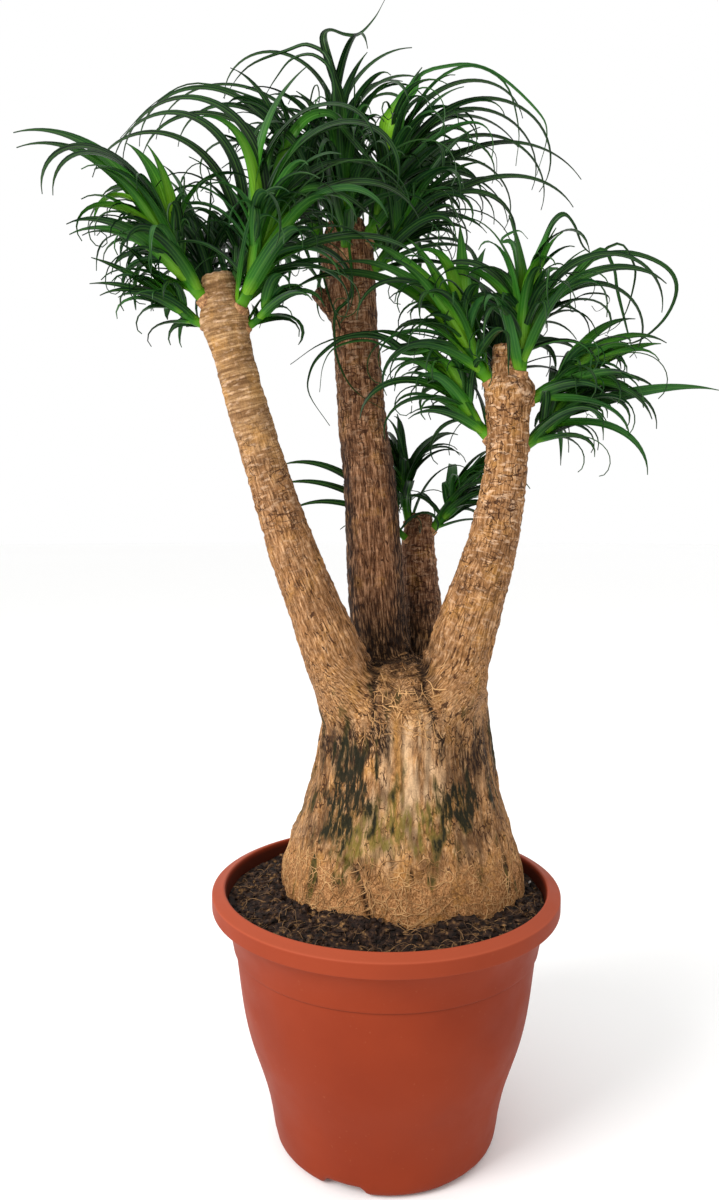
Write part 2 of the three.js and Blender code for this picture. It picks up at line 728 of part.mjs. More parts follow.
// Leaves are grown in turns, one for each shoot, so that no shoot takes all the room.
const growing = SHOOTS.map((shoot, order) => leavesOf(shoot, lines[order], order));
const most = Math.max(...growing.map((leaves) => leaves.length));
for (let n = 0; n < most; n++) {
  SHOOTS.forEach((shoot, order) => {
    const leaf = growing[order][n];
    const placed = leaf && bentClear(leaf, shoot.name);
    if (placed) pieces.set(shoot.name, pieces.get(shoot.name).add(makeBlade(placed, 0)));
  });
}

const palm = new THREE.Group();
for (const [name, solid] of pieces) {
  const look = looks[name] ?? (name === "trunk" ? looks.bark : looks.leaf);
  palm.add(meshOf(name, solid, look));
}
export default palm;
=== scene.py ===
# A ponytail palm with a swollen base and four bare stems, in a moulded nursery pot. Metres, +Z up,
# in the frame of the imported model; the plant's front faces -Y.

import math

import bpy
import numpy as np
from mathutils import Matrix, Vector
from mathutils.bvhtree import BVHTree


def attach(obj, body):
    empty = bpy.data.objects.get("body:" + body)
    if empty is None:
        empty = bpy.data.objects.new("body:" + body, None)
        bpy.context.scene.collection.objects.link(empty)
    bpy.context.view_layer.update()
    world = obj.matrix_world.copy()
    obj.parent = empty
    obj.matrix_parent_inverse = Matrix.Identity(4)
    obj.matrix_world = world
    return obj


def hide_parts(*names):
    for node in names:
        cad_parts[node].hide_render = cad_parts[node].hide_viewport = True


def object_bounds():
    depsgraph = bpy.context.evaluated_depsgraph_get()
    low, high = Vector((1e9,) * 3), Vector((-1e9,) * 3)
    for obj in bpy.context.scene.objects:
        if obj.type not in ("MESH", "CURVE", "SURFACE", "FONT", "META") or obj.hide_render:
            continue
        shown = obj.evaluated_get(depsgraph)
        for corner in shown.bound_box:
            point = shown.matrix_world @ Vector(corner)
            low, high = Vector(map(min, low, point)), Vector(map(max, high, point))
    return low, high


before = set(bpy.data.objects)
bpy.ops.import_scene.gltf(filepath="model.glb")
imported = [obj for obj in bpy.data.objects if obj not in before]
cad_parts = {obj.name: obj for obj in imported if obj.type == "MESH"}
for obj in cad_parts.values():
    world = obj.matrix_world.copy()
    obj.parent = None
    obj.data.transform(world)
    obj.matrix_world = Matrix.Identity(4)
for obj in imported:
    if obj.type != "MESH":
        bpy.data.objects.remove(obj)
cad_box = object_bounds()
MM = 0.001

# ---------------------------------------------------------------- room
# A pale studio: a wide matt floor under an even white surround, and a big soft light high on the
# left. The camera stands a little above the middle of the plant.

FLOOR_RADIUS = 30.0
FLOOR_PAINT = "#FDFDFC"
CAMERA_PLACE = (-0.025, -0.870, 0.586)
CAMERA_PITCH = 4.6
CAMERA_LENS = 27.9
SURROUND = 1.0


def linear(hex_colour):
    """An sRGB hex colour as the linear colour that a shader socket takes."""
    parts = [int(hex_colour[i : i + 2], 16) / 255 for i in (1, 3, 5)]
    return [*(p / 12.92 if p <= 0.04045 else ((p + 0.055) / 1.055) ** 2.4 for p in parts), 1.0]


def add(tree, kind, inputs=None, stops=(), **settings):
    """Adds a shader node. Each input takes a number, a hex colour, or another node or its output;
    stops are a ramp's places and colours, and settings are the node's own."""
    made = tree.nodes.new("ShaderNode" + kind)
    for name, setting in settings.items():
        setattr(made, name, setting)
    for name, source in (inputs or {}).items():
        if isinstance(source, bpy.types.Node):
            source = next(output for output in source.outputs if output.enabled)
        if isinstance(source, bpy.types.NodeSocket):
            tree.links.new(source, made.inputs[name])
        else:
            made.inputs[name].default_value = linear(source) if isinstance(source, str) else source
    for n, (place, colour) in enumerate(stops):
        elements = made.color_ramp.elements
        element = elements[n] if n < 2 else elements.new(place)
        element.position = place
        element.color = linear(colour)
    return made


def new_material(name):
    """An empty material and its node tree."""
    made = bpy.data.materials.new(name)
    made.use_nodes = True
    made.node_tree.nodes.clear()
    return made, made.node_tree


def new_piece(name, points, faces, material, smooth=True):
    """A mesh object made of points, in millimetres, and faces."""
    mesh = bpy.data.meshes.new(name)
    mesh.from_pydata((np.asarray(points) * MM).tolist(), [], [[int(v) for v in face] for face in faces])
    mesh.materials.append(material)
    mesh.shade_smooth() if smooth else mesh.shade_flat()
    made = bpy.data.objects.new(name, mesh)
    bpy.context.scene.collection.objects.link(made)
    return made


# Matt wall paint, rolled on: even, with a faint cloudiness and no shine.
floor_paint, tree = new_material("matt_floor_paint")
mottle = add(tree, "TexNoise", {"Scale": 3.0, "Detail": 3.0})
shade = add(tree, "ValToRGB", {"Fac": mottle}, [(0.3, FLOOR_PAINT), (0.7, "#FFFFFF")])
paint = add(tree, "BsdfPrincipled", {"Base Color": shade, "Roughness": 0.9})
add(tree, "OutputMaterial", {"Surface": paint})

turns = np.radians(np.arange(0, 360, 5))
floor_ring = np.stack([np.cos(turns), np.sin(turns), 0 * turns], 1) * FLOOR_RADIUS / MM
floor = new_piece("floor", floor_ring, [list(range(len(turns)))], floor_paint)

world = bpy.data.worlds.new("white_surround")
world.use_nodes = True
world.node_tree.nodes["Background"].inputs["Color"].default_value = linear("#FFFFFF")
world.node_tree.nodes["Background"].inputs["Strength"].default_value = SURROUND
bpy.context.scene.world = world
bpy.context.scene.view_settings.view_transform = "Standard"


def soft_light(name, place, target, size, power, colour="#FFFFFF"):
    """A square softbox that faces a target."""
    lamp = bpy.data.lights.new(name, "AREA")
    lamp.shape = "SQUARE"
    lamp.size = size
    lamp.energy = power
    lamp.color = linear(colour)[:3]
    made = bpy.data.objects.new(name, lamp)
    made.location = place
    made.rotation_euler = (Vector(target) - Vector(place)).to_track_quat("-Z", "Y").to_euler()
    bpy.context.scene.collection.objects.link(made)


soft_light("key_softbox", place=(-1.9, -1.5, 1.9), target=(0.0, 0.0, 0.5), size=1.3, power=74)

camera = bpy.data.objects.new("camera", bpy.data.cameras.new("camera"))
camera.data.lens = CAMERA_LENS
camera.location = CAMERA_PLACE
camera.rotation_euler = (math.radians(90 - CAMERA_PITCH), 0, 0)
bpy.context.scene.collection.objects.link(camera)
bpy.context.scene.camera = camera

# ---------------------------------------------------------------- pot
# The nursery pot: one injection-moulded piece of terracotta-coloured polypropylene, with a rolled
# lip that has painted light on it, a shallow step under it, and six drain notches round its foot,
# the first deep and the second nearly closed. The floor inside stands higher than any of them.

POT_SIDES = 240
POT_SECTION = [
    (0, 0), (0, 60), (0, 84), (0, 84.4), (0, 95), (0.9, 99.6), (3.2, 103.6), (7.5, 106.6), (18.5, 108.3),
    (35, 110.6), (58, 115.5), (81, 122.7), (104, 130.4), (127, 135.6), (150, 138.8), (174, 141.4),
    (186, 142.9), (189.2, 143.3), (189.8, 143.3), (190.4, 145.0), (191.6, 145.4), (202, 147.2),
    (214, 150.9), (224, 155.2), (227.6, 157.0), (228.2, 157.6), (228.4, 162.4), (228.8, 164.4),
    (229.6, 164.9), (231, 165.0), (241.6, 165.0), (242.3, 164.9), (242.8, 164.5), (243.3, 163.6),
    (245.8, 157.2), (246.8, 155.2), (247, 154.2), (246.7, 153.2), (245.4, 152.2), (242, 151.7),
    (221, 149.2), (186, 140.4), (150, 135.8), (104, 127.4),
    (58, 112.5), (20, 105.4), (13.5, 102), (10.5, 96), (10.5, 60), (10.5, 0),
]
POT_CORNERS = 2
NOTCH_HEIGHTS = (7.4, 0.6, 6, 6, 6, 6)
NOTCH_COUNT = len(NOTCH_HEIGHTS)
NOTCH_FIRST = 248
NOTCH_WIDTH = 40
NOTCH_SLOPE = 5
NOTCH_FADE = 15
NOTCH_INNER = 84.2
DRAIN_RADIUS = 7
DRAIN_PLACE = 90
OUTER_SHARE = 0.6
STEP_LEVEL = 189.8
# How dark the painted shadow in the shallow step is.
STEP_DUST = 0.34
SHARP_ANGLE = math.radians(50)


def rounded(section, rounds):
    """A section line with its corners cut finer and finer, its ends kept."""
    line = np.asarray(section, float)
    for _ in range(rounds):
        near = 0.75 * line[:-1] + 0.25 * line[1:]
        far = 0.25 * line[:-1] + 0.75 * line[1:]
        line = np.vstack([line[:1], np.stack([near, far], 1).reshape(-1, 2), line[-1:]])
    return line


def loops(rows, sides, first=0, wrap=True):
    """Quads between rows of points that each go round in the same number of sides."""
    r, s = np.meshgrid(np.arange(rows - 1), np.arange(sides if wrap else sides - 1), indexing="ij")
    here = first + r * sides + s
    across = first + r * sides + (s + 1) % sides
    return np.stack([here, across, across + sides, here + sides], -1).reshape(-1, 4)


def capped(rows, sides, first=0):
    """The faces of a closed tube: quads between its rows of points, and a cap on each end."""
    last = first + (rows - 1) * sides
    ends = [list(range(first + sides - 1, first - 1, -1)), list(range(last, last + sides))]
    return loops(rows, sides, first).tolist() + ends


def smooth_step(value, low, high):
    """0 at a low value and 1 at a high one, with an even rise between them."""
    share = np.clip((value - low) / (high - low), 0, 1)
    return share * share * (3 - 2 * share)


def between(value, outside, low, high, beyond):
    """1 from a low value to a high one, fading to 0 on both sides."""
    return smooth_step(value, outside, low) * (1 - smooth_step(value, high, beyond))


def hump(value, middle, width):
    """1 at a middle value, fading away on both sides of it."""
    return np.exp(-(((value - middle) / width) ** 2))


section = rounded(POT_SECTION, POT_CORNERS)[1:-1]
turns = np.arange(POT_SIDES) * 2 * np.pi / POT_SIDES
height, radius = (np.repeat(section[:, k], POT_SIDES).copy() for k in (0, 1))
turn = np.tile(turns, len(section))
cut = np.zeros(len(turn))
for n, deep in enumerate(NOTCH_HEIGHTS):
    off = turn - math.radians(NOTCH_FIRST + n * 360 / NOTCH_COUNT)
    off = (off + np.pi) % (2 * np.pi) - np.pi
    edge = NOTCH_WIDTH / 2
    beside_notch = smooth_step(np.abs(off) * radius, edge - NOTCH_SLOPE, edge + NOTCH_SLOPE / 2)
    cut = np.maximum(cut, deep * (1 - beside_notch))
low = np.clip(1 - height / NOTCH_FADE, 0, 1) * (radius > NOTCH_INNER)
outer = np.repeat(np.arange(len(section)) < len(section) * OUTER_SHARE, POT_SIDES)
height += cut * low * outer
wall = np.stack([radius * np.cos(turn), radius * np.sin(turn), height], 1)
rows = len(section)
points = np.vstack([wall, [[0, 0, 0], [0, 0, section[-1, 0]]]])
side = np.arange(POT_SIDES)
beside = (side + 1) % POT_SIDES
foot_centre, inside_centre = len(wall), len(wall) + 1
last = (rows - 1) * POT_SIDES
faces = loops(rows, POT_SIDES).tolist()
faces += np.stack([np.full(POT_SIDES, foot_centre), beside, side], 1).tolist()
faces += np.stack([np.full(POT_SIDES, inside_centre), last + side, last + beside], 1).tolist()

# Injection-moulded polypropylene, satin from the mould: faintly cloudy in colour, scuffed by
# handling, with a little peat dust on it. It is darker on the inside wall above the compost. Painted
# light makes the lip paler, most on its top face, with a painted highlight along its ridge, and a
# painted shadow darkens the shallow step below it.
polypropylene, tree = new_material("moulded_polypropylene")
place = add(tree, "TexCoord").outputs["Object"]
cloud = add(tree, "TexNoise", {"Vector": place, "Scale": 9.0, "Detail": 4.0})
body = add(tree, "ValToRGB", {"Fac": cloud}, [(0.32, "#7B2D17"), (0.7, "#87341B")])
speck = add(tree, "TexNoise", {"Vector": place, "Scale": 260.0, "Detail": 2.0})
dust = add(tree, "MapRange", {0: speck, 1: 0.70, 2: 0.78, 3: 0.0, 4: 0.3})
dusty = add(tree, "Mix", {0: dust, 6: body, 7: "#96583E"}, data_type="RGBA")
# Darker on the inside wall above the compost, and a painted shadow in the shallow step.
smeared = add(tree, "Attribute", attribute_name="pot_smeared").outputs["Fac"]
smear = add(tree, "MapRange", {0: smeared, 1: 0.0, 2: 1.0, 3: 0.0, 4: 0.72})
dusty = add(tree, "Mix", {0: smear, 6: dusty, 7: "#2A1A13"}, data_type="RGBA")
# Painted light: the lip paler, most on its top face, with a painted highlight along its ridge.
worn = add(tree, "Attribute", attribute_name="pot_worn").outputs["Fac"]
dusty = add(tree, "Mix", {0: worn, 6: dusty, 7: "#A34C33"}, data_type="RGBA")
scuff = add(tree, "TexNoise", {"Vector": place, "Scale": 34.0, "Detail": 5.0})
gloss = add(tree, "MapRange", {0: scuff, 1: 0.3, 2: 0.7, 3: 0.46, 4: 0.6})
stipple = add(tree, "TexNoise", {"Vector": place, "Scale": 900.0})
skin = add(tree, "Bump", {"Height": stipple, "Strength": 0.06, "Distance": 0.0004})
plastic = add(
    tree,
    "BsdfPrincipled",
    {"Base Color": dusty, "Roughness": gloss, "Normal": skin, "IOR": 1.49, "Specular IOR Level": 0.07},
)
add(tree, "OutputMaterial", {"Surface": plastic})

pot = new_piece("nursery_pot", points, faces, polypropylene)
cutter_points, cutter_faces = [], []
for n in range(NOTCH_COUNT):
    a = math.radians(NOTCH_FIRST + n * 360 / NOTCH_COUNT)
    hole = np.radians(np.arange(0, 360, 20))
    centre = DRAIN_PLACE * np.array([math.cos(a), math.sin(a), 0])
    first = len(cutter_points)
    for z in (-2, 12):
        ring = np.stack([np.cos(hole) * DRAIN_RADIUS, np.sin(hole) * DRAIN_RADIUS, 0 * hole + z], 1)
        cutter_points += (ring + centre).tolist()
    count = len(hole)
    cutter_faces += capped(2, count, first)
cutter = new_piece("drain_cutter", cutter_points, cutter_faces, polypropylene)


def apply_modifiers(piece):
    """Keeps a piece's modified shape as its own mesh."""
    view = bpy.context.evaluated_depsgraph_get()
    shaped = bpy.data.meshes.new_from_object(piece.evaluated_get(view))
    piece.modifiers.clear()
    piece.data = shaped


drains = pot.modifiers.new("drains", "BOOLEAN")
drains.operation = "DIFFERENCE"
drains.object = cutter
apply_modifiers(pot)
bpy.data.objects.remove(cutter)
pot.data.set_sharp_from_angle(angle=SHARP_ANGLE)


def places_of(mesh, of="co"):
    """A mesh's points, in millimetres, or the directions they face."""
    flat = np.empty(len(mesh.vertices) * 3)
    mesh.vertices.foreach_get(of, flat)
    return flat.reshape(-1, 3) / (MM if of == "co" else 1)


def give_traits(mesh, traits):
    """Keeps named numbers on a mesh's points, for its material to read."""
    for name, values in traits.items():
        wide = np.ndim(values) == 2
        held = mesh.attributes.new(name, "FLOAT_VECTOR" if wide else "FLOAT", "POINT")
        held.data.foreach_set("vector" if wide else "value", np.asarray(values, np.float32).ravel())


x, y, z = places_of(pot.data).T
off = np.hypot(x, y)
inside = smooth_step(off, 153.6, 151.6) * between(z, 222, 234, 241, 246)
on_lip = smooth_step(z, 228.6, 229.4) * smooth_step(off, 152.4, 153.4)
# Painted light on the lip: a little paler on its band, more on its top face, and a painted highlight along
# its ridge.
worn = on_lip * (0.2 + 0.5 * smooth_step(z, 241.2, 243) + 0.18 * hump(z, 242.6, 0.5))
# A painted shadow in the shallow step, under its ledge.
in_step = STEP_DUST * hump(z, STEP_LEVEL, 0.9) * smooth_step(off, 141.8, 142.6)
give_traits(pot.data, {"pot_smeared": np.maximum(inside, in_step), "pot_worn": worn})
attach(pot, "root")
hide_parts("pot")

# ---------------------------------------------------------------- compost
# Dark peat compost, filled by hand to just below the lip and heaped unevenly against the plant:
# a lumpy surface with loose crumbs, pale root fibres and a grain of perlite.

SOIL_LEVEL = 233
SOIL_RADIUS = 149.8
SOIL_HEAP = 7
SOIL_LUMP = 4
SOIL_RINGS = 84
SOIL_SIDES = 220
CRUMB_COUNT = 3000
FIBRE_COUNT = 230
PERLITE_PLACE = (143, 20)
CLODS = ((5, 11), (3.4, 5), (2, 2.4))
BANKED_ROUND = 117
BARE_ROUND = 112
CAUDEX_CENTRE = (17.5, 15)
CAUDEX_DEPTH = 0.86


def grain(points, size, seed=0):
    """Smooth noise from 0 to 1 with lumps about size across, in the points' own units."""
    place = np.asarray(points, float) / size + 17.3 * seed + 401
    cell = np.floor(place).astype(np.int64)
    share = place - cell
    share = share * share * (3 - 2 * share)
    total = np.zeros(len(place))
    for corner in np.ndindex(2, 2, 2):
        c = cell + np.array(corner)
        key = (c[:, 0] * 73856093) ^ (c[:, 1] * 19349663) ^ (c[:, 2] * 83492791)
        key = (key ^ (key >> 13)) * 1274126177
        value = ((key ^ (key >> 16)) & 0xFFFF) / 0xFFFF
        total += value * np.prod(np.where(corner, share, 1 - share), axis=1)
    return total


def from_caudex(x, y, radius):
    """How far out from the swollen base a place lies: 1 on an oval of a radius round it."""
    return np.hypot((x - CAUDEX_CENTRE[0]) / radius, (y - CAUDEX_CENTRE[1]) / (radius * CAUDEX_DEPTH))


def soil_height(x, y):
    """The compost's surface: lumps on a level that rises towards the plant."""
    angle, share = np.arctan2(y, x), np.hypot(x, y) / SOIL_RADIUS
    broad = np.sin(3 * angle + 14 * share) + np.sin(5 * angle + 9 * share)
    broad = broad + np.sin(11 * angle - 5 * share + 2)
    room = np.clip(4 * (1 - share), 0, 1)
    spot = np.stack([x, y, 0 * x], 1)
    clods = sum(tall * (grain(spot, wide, n + 1) - 0.5) for n, (tall, wide) in enumerate(CLODS))
    banked = 7 * np.clip(1.25 - from_caudex(x, y, BANKED_ROUND), 0, 0.25) / 0.25 * grain(spot, 26, 5)
    edge = np.clip(9 * (1 - share), 0.35, 1)
    return SOIL_LEVEL + SOIL_HEAP * (1 - share) + SOIL_LUMP / 3 * broad * room + clods * edge + banked


ring_radius = SOIL_RADIUS * (1 - np.linspace(0, 0.62, SOIL_RINGS))
turns = np.arange(SOIL_SIDES) * 2 * np.pi / SOIL_SIDES
x = (ring_radius[:, None] * np.cos(turns)).ravel()
y = (ring_radius[:, None] * np.sin(turns)).ravel()
top = np.stack([x, y, soil_height(x, y)], 1)
skirt = np.stack([SOIL_RADIUS * np.cos(turns), SOIL_RADIUS * np.sin(turns), 0 * turns + SOIL_LEVEL - 9], 1)
inner_edge = top[-SOIL_SIDES:] * [1, 1, 0] + [0, 0, SOIL_LEVEL - 9]
points = np.vstack([skirt, top, inner_edge])
rows = SOIL_RINGS + 2
faces = loops(rows, SOIL_SIDES).tolist()
under = (rows - 1) * SOIL_SIDES + np.arange(SOIL_SIDES)
side = np.arange(SOIL_SIDES)
beside = (side + 1) % SOIL_SIDES
faces += np.stack([side, under, under[beside], beside], 1)[:, ::-1].tolist()

# Moist peat: nearly black brown, dull, with browner dry crumbs.
peat, tree = new_material("moist_peat")
place = add(tree, "TexCoord").outputs["Object"]
clod = add(tree, "TexNoise", {"Vector": place, "Scale": 170.0, "Detail": 6.0})
shade = add(
    tree,
    "ValToRGB",
    {"Fac": clod},
    [(0.36, "#0E0703"), (0.50, "#261710"), (0.60, "#45301F"), (0.70, "#8A673F")],
)
crumble = add(tree, "TexNoise", {"Vector": place, "Scale": 620.0, "Detail": 4.0})
rough = add(tree, "Bump", {"Height": crumble, "Strength": 0.8, "Distance": 0.0012})
damp = add(
    tree,
    "BsdfPrincipled",
    {"Base Color": shade, "Normal": rough, "Roughness": 0.75, "Specular IOR Level": 0.2},
)
add(tree, "OutputMaterial", {"Surface": damp})

compost = new_piece("compost", points, faces, peat)
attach(compost, "root")
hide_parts("soil")

draw = np.random.default_rng(7)
GOLDEN_RATIO = (1 + 5**0.5) / 2

# The twelve corners of a rough ball, about 1 mm from its middle.
CRUMB = np.array(
    [np.roll((s, t * GOLDEN_RATIO, 0), turn) for turn in range(3) for s in (-1, 1) for t in (-1, 1)]
) / 1.9


def hull_faces(corners):
    """The triangles between neighbouring corners of a regular solid, each facing out."""
    found = []
    apart = np.linalg.norm(corners[:, None] - corners[None], axis=2)
    near = apart[apart > 0].min() * 1.05
    for a in range(len(corners)):
        for b in range(a + 1, len(corners)):
            for c in range(b + 1, len(corners)):
                if max(apart[a, b], apart[b, c], apart[a, c]) > near:
                    continue
                facing = np.cross(corners[b] - corners[a], corners[c] - corners[a]) @ corners[a]
                found.append((a, b, c) if facing > 0 else (a, c, b))
    return np.array(found)


CRUMB_FACES = hull_faces(CRUMB)


def on_compost(count):
    """Seeded places on the compost that show between the plant and the pot's wall."""
    found = []
    while len(found) < count:
        x, y = draw.uniform(-SOIL_RADIUS, SOIL_RADIUS, 2)
        if math.hypot(x, y) < SOIL_RADIUS - 4 and from_caudex(x, y, BARE_ROUND) > 1:
            found.append((x, y))
    return np.array(found)


spots = on_compost(CRUMB_COUNT)
levels = soil_height(spots[:, 0], spots[:, 1])
points, faces = [], []
for n, (x, y) in enumerate(spots):
    size = 0.8 + 3.2 * draw.random() ** 2.6
    shape = CRUMB * draw.uniform(0.45, 1.3, (len(CRUMB), 1)) * size
    shape = shape * draw.uniform((0.5, 0.5, 0.35), (1.6, 1.6, 0.9))
    faces.append(CRUMB_FACES + len(CRUMB) * n)
    points.append(shape + [x, y, levels[n] + 0.25 * size])
crumbs = new_piece("peat_crumbs", np.vstack(points), np.vstack(faces), peat, smooth=False)
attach(crumbs, "root")


def tube(line, widths, sides):
    """Points and faces of a closed tube along a line, with a radius for each of its points."""
    line = np.asarray(line, float)
    along = np.gradient(line, axis=0)
    along /= np.linalg.norm(along, axis=1)[:, None] + 1e-12
    helper = np.array([0.0, 1.0, 0.0]) if abs(along[0, 1]) < 0.9 else np.array([1.0, 0.0, 0.0])
    across = np.cross(np.broadcast_to(helper, along.shape), along)
    across /= np.linalg.norm(across, axis=1)[:, None] + 1e-12
    over = np.cross(along, across)
    turns = np.arange(sides) * 2 * np.pi / sides
    widths = np.broadcast_to(widths, len(line))[:, None, None]
    ring = across[:, None] * np.cos(turns)[:, None] + over[:, None] * np.sin(turns)[:, None]
    return (line[:, None] + widths * ring).reshape(-1, 3), capped(len(line), sides)


def joined(parts):
    """Several (points, faces) as one."""
    points, faces, first = [], [], 0
    for some, some_faces in parts:
        points.append(some)
        faces += [[first + v for v in face] for face in some_faces]
        first += len(some)
    return np.vstack(points), faces


# Dry root fibres: pale straw strands, matt, browner where the peat stains them.
root_fibre, tree = new_material("dry_root_fibre")
place = add(tree, "TexCoord").outputs["Object"]
stain = add(tree, "TexNoise", {"Vector": place, "Scale": 60.0, "Detail": 3.0})
shade = add(tree, "ValToRGB", {"Fac": stain}, [(0.35, "#432C18"), (0.65, "#A27A4C")])
strand = add(tree, "BsdfPrincipled", {"Base Color": shade, "Roughness": 0.75})
add(tree, "OutputMaterial", {"Surface": strand})

strands = []
for x, y in on_compost(FIBRE_COUNT):
    heading = draw.uniform(0, 2 * np.pi)
    curl = draw.uniform(-0.22, 0.22)
    steps = draw.integers(4, 13)
    line = [(x, y)]
    for _ in range(steps):
        heading += curl + draw.uniform(-0.25, 0.25)
        line.append((line[-1][0] + 2.4 * math.cos(heading), line[-1][1] + 2.4 * math.sin(heading)))
    line = np.array([p for p in line if math.hypot(*p) < SOIL_RADIUS - 2])
    if len(line) < 4:
        continue
    lift = np.sin(np.linspace(0, np.pi, len(line))) * draw.uniform(0.3, 3.4)
    ground = soil_height(line[:, 0], line[:, 1])
    ground = np.convolve(np.pad(ground, 1, mode="edge"), np.ones(3) / 3, "valid")
    strands.append(tube(np.column_stack([line, ground + 0.8 + lift]), draw.uniform(0.11, 0.28), 5))
fibres = new_piece("compost_fibres", *joined(strands), root_fibre)
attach(fibres, "root")

# One grain of expanded perlite by the lip: white, puffed and matt, with painted shade greying its hollows.
perlite, tree = new_material("expanded_perlite")
place = add(tree, "TexCoord").outputs["Object"]
pores = add(tree, "TexNoise", {"Vector": place, "Scale": 900.0, "Detail": 3.0})
shade = add(tree, "ValToRGB", {"Fac": pores}, [(0.35, "#A9A39B"), (0.55, "#E9E6E0")])
puffed = add(tree, "Bump", {"Height": pores, "Strength": 0.7, "Distance": 0.0005})
glassy = add(tree, "BsdfPrincipled", {"Base Color": shade, "Normal": puffed, "Roughness": 0.7})
add(tree, "OutputMaterial", {"Surface": glassy})
x, y = PERLITE_PLACE
shape = CRUMB * draw.uniform(0.8, 1.1, (len(CRUMB), 1)) * (2.0, 1.5, 1.9)
spot = [x, y, float(soil_height(np.array([x]), np.array([y]))[0]) + 1.2]
perlite_grain = new_piece("perlite_grain", shape + spot, CRUMB_FACES, perlite, smooth=False)
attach(perlite_grain, "root")

# ---------------------------------------------------------------- trunk
# The swollen base and its four bare stems, grown as one: corky bark, ringed by old leaf scars and
# split lengthwise, green-black with moss halfway down, matted with fine roots near the compost,
# where a dark cleft opens at the left of its front.

BARK_GRID = 1.5
CROTCH_ROUNDS = 14
REAR_ROUNDS = 120

# Places down the cleft: an angle from the front and a height. Up the swollen base: a height and a
# radius. Along a stem: where its middle is, and its radius.
CLEFT = [(-37, 286), (-30, 281), (-25, 272), (-22.5, 260), (-20, 248), (-19, 232)]
CAUDEX = [
    (168, 62), (186, 100), (212, 114), (238, 117.5), (258, 115), (282, 109), (306, 101), (330, 93.5),
    (354, 87.5), (380, 83), (412, 80), (434, 75), (450, 58), (459, 28),
]
STEMS = {
    "left": [
        (-24, -2, 396, 34), (-34, -14, 432, 32), (-52, -26, 477, 28), (-68, -32, 519, 24.2),
        (-83, -38, 559, 22.3), (-96, -42, 599, 20), (-108, -46, 638, 18.6), (-119, -50, 676, 18),
        (-129, -54, 714, 17.4), (-136, -57, 742, 18), (-140, -58.5, 762, 22), (-143, -60, 779, 17),
        (-146.5, -61.5, 798, 13),
    ],
    "centre": [
        (6, 30, 404, 36), (-3, 44, 463, 29.5), (-9, 46, 521, 28), (-12, 45, 585, 26.7),
        (-16, 44, 639, 25.1), (-22, 43, 682, 24), (-25, 42, 722, 23), (-29, 41, 771, 22),
        (-33, 40, 812, 24), (-37, 38, 846, 25), (-38, 38, 874, 17),
    ],
    "right": [
        (48, -2, 398, 36), (59, -13, 434, 34), (65, -19, 464, 30.5), (72, -24, 491, 28.8),
        (80, -27, 518, 26.3), (88, -30, 545, 24.6), (95, -32, 572, 22.9), (100, -34, 599, 21.6),
        (104, -36, 626, 19.9), (106, -38, 660, 18.8), (106, -40, 690, 20), (106, -41, 703, 23),
        (103, -41, 721, 15), (101.5, -42, 744, 9.5),
    ],
    "back": [
        (40, 52, 404, 32), (41.5, 72, 450, 24), (40.2, 82, 497, 20.2), (36, 90, 550, 18.4),
        (36, 93, 574, 17), (39, 95, 598, 12),
    ],
}

# Marks on the swollen base: a strength, an angle from the front, a height, and how wide and tall.
MOSS = (
    (1.7, -43, 346, 16, 30), (0.7, -48, 302, 15, 22), (1.6, 41, 334, 17, 20), (0.5, 24, 308, 9, 14),
    (1, 150, 340, 40, 26), (1.1, -125, 330, 30, 28),
)
LICHEN = (
    (1, -36, 306, 22, 28), (0.55, -2, 322, 22, 26), (0.7, 30, 322, 20, 24), (0.9, 150, 325, 44, 34),
    (0.9, -125, 318, 36, 34),
)
# Dark patches on the bark; those down the left and right sides of the swollen base are painted shade.
STAINS = (
    (0.8, -19, 404, 8, 22), (1, -40, 384, 22, 22), (1.15, 49, 374, 15, 22), (0.9, 24, 386, 7, 18),
    (1, 170, 400, 50, 26), (0.9, 100, 370, 30, 34), (0.7, -66, 372, 12, 44), (0.6, 64, 380, 11, 46),
    (0.8, -46, 264, 15, 22), (0.55, 62, 266, 14, 26),
)

SIDE_SPUR = dict(stem="centre", height=790, side=195, heading=175, rise=48, reach=24, girth=9)


def flowing(stations, per_span=12):
    """A smooth line through stations, with the numbers that follow each place kept in step."""
    given = np.asarray(stations, float)
    ends = np.vstack([2 * given[0] - given[1], given, 2 * given[-1] - given[-2]])
    share = np.linspace(0, 1, per_span, endpoint=False)[:, None]
    spans = []
    for a, b, c, d in zip(ends, ends[1:], ends[2:], ends[3:]):
        bowed = (2 * a - 5 * b + 4 * c - d) * share**2
        swung = (3 * b - a - 3 * c + d) * share**3
        spans.append(0.5 * (2 * b + (c - a) * share + bowed + swung))
    return np.vstack([*spans, given[-1:]])


def aim(heading, rise):
    """The direction at a heading, in degrees from +X towards +Y, and a rise above level."""
    h, r = np.radians(heading), np.radians(rise)
    return np.stack([np.cos(r) * np.cos(h), np.cos(r) * np.sin(h), np.sin(r) + 0 * h], -1)


stem_lines = {name: flowing(stations) for name, stations in STEMS.items()}


def stem_at(name, height):
    """A stem's centre and radius where it passes a height."""
    line = stem_lines[name]
    x, y, r = (np.interp(height, line[:, 2], line[:, k]) for k in (0, 1, 3))
    return np.array([x, y, height]), float(r)


def foot_of(shoot):
    """Where a shoot leaves its stem, and the way that it grows there."""
    centre, radius = stem_at(shoot["stem"], shoot["height"])
    return centre + aim(shoot["side"], 0) * (radius - 2), aim(shoot["heading"], shoot["rise"])


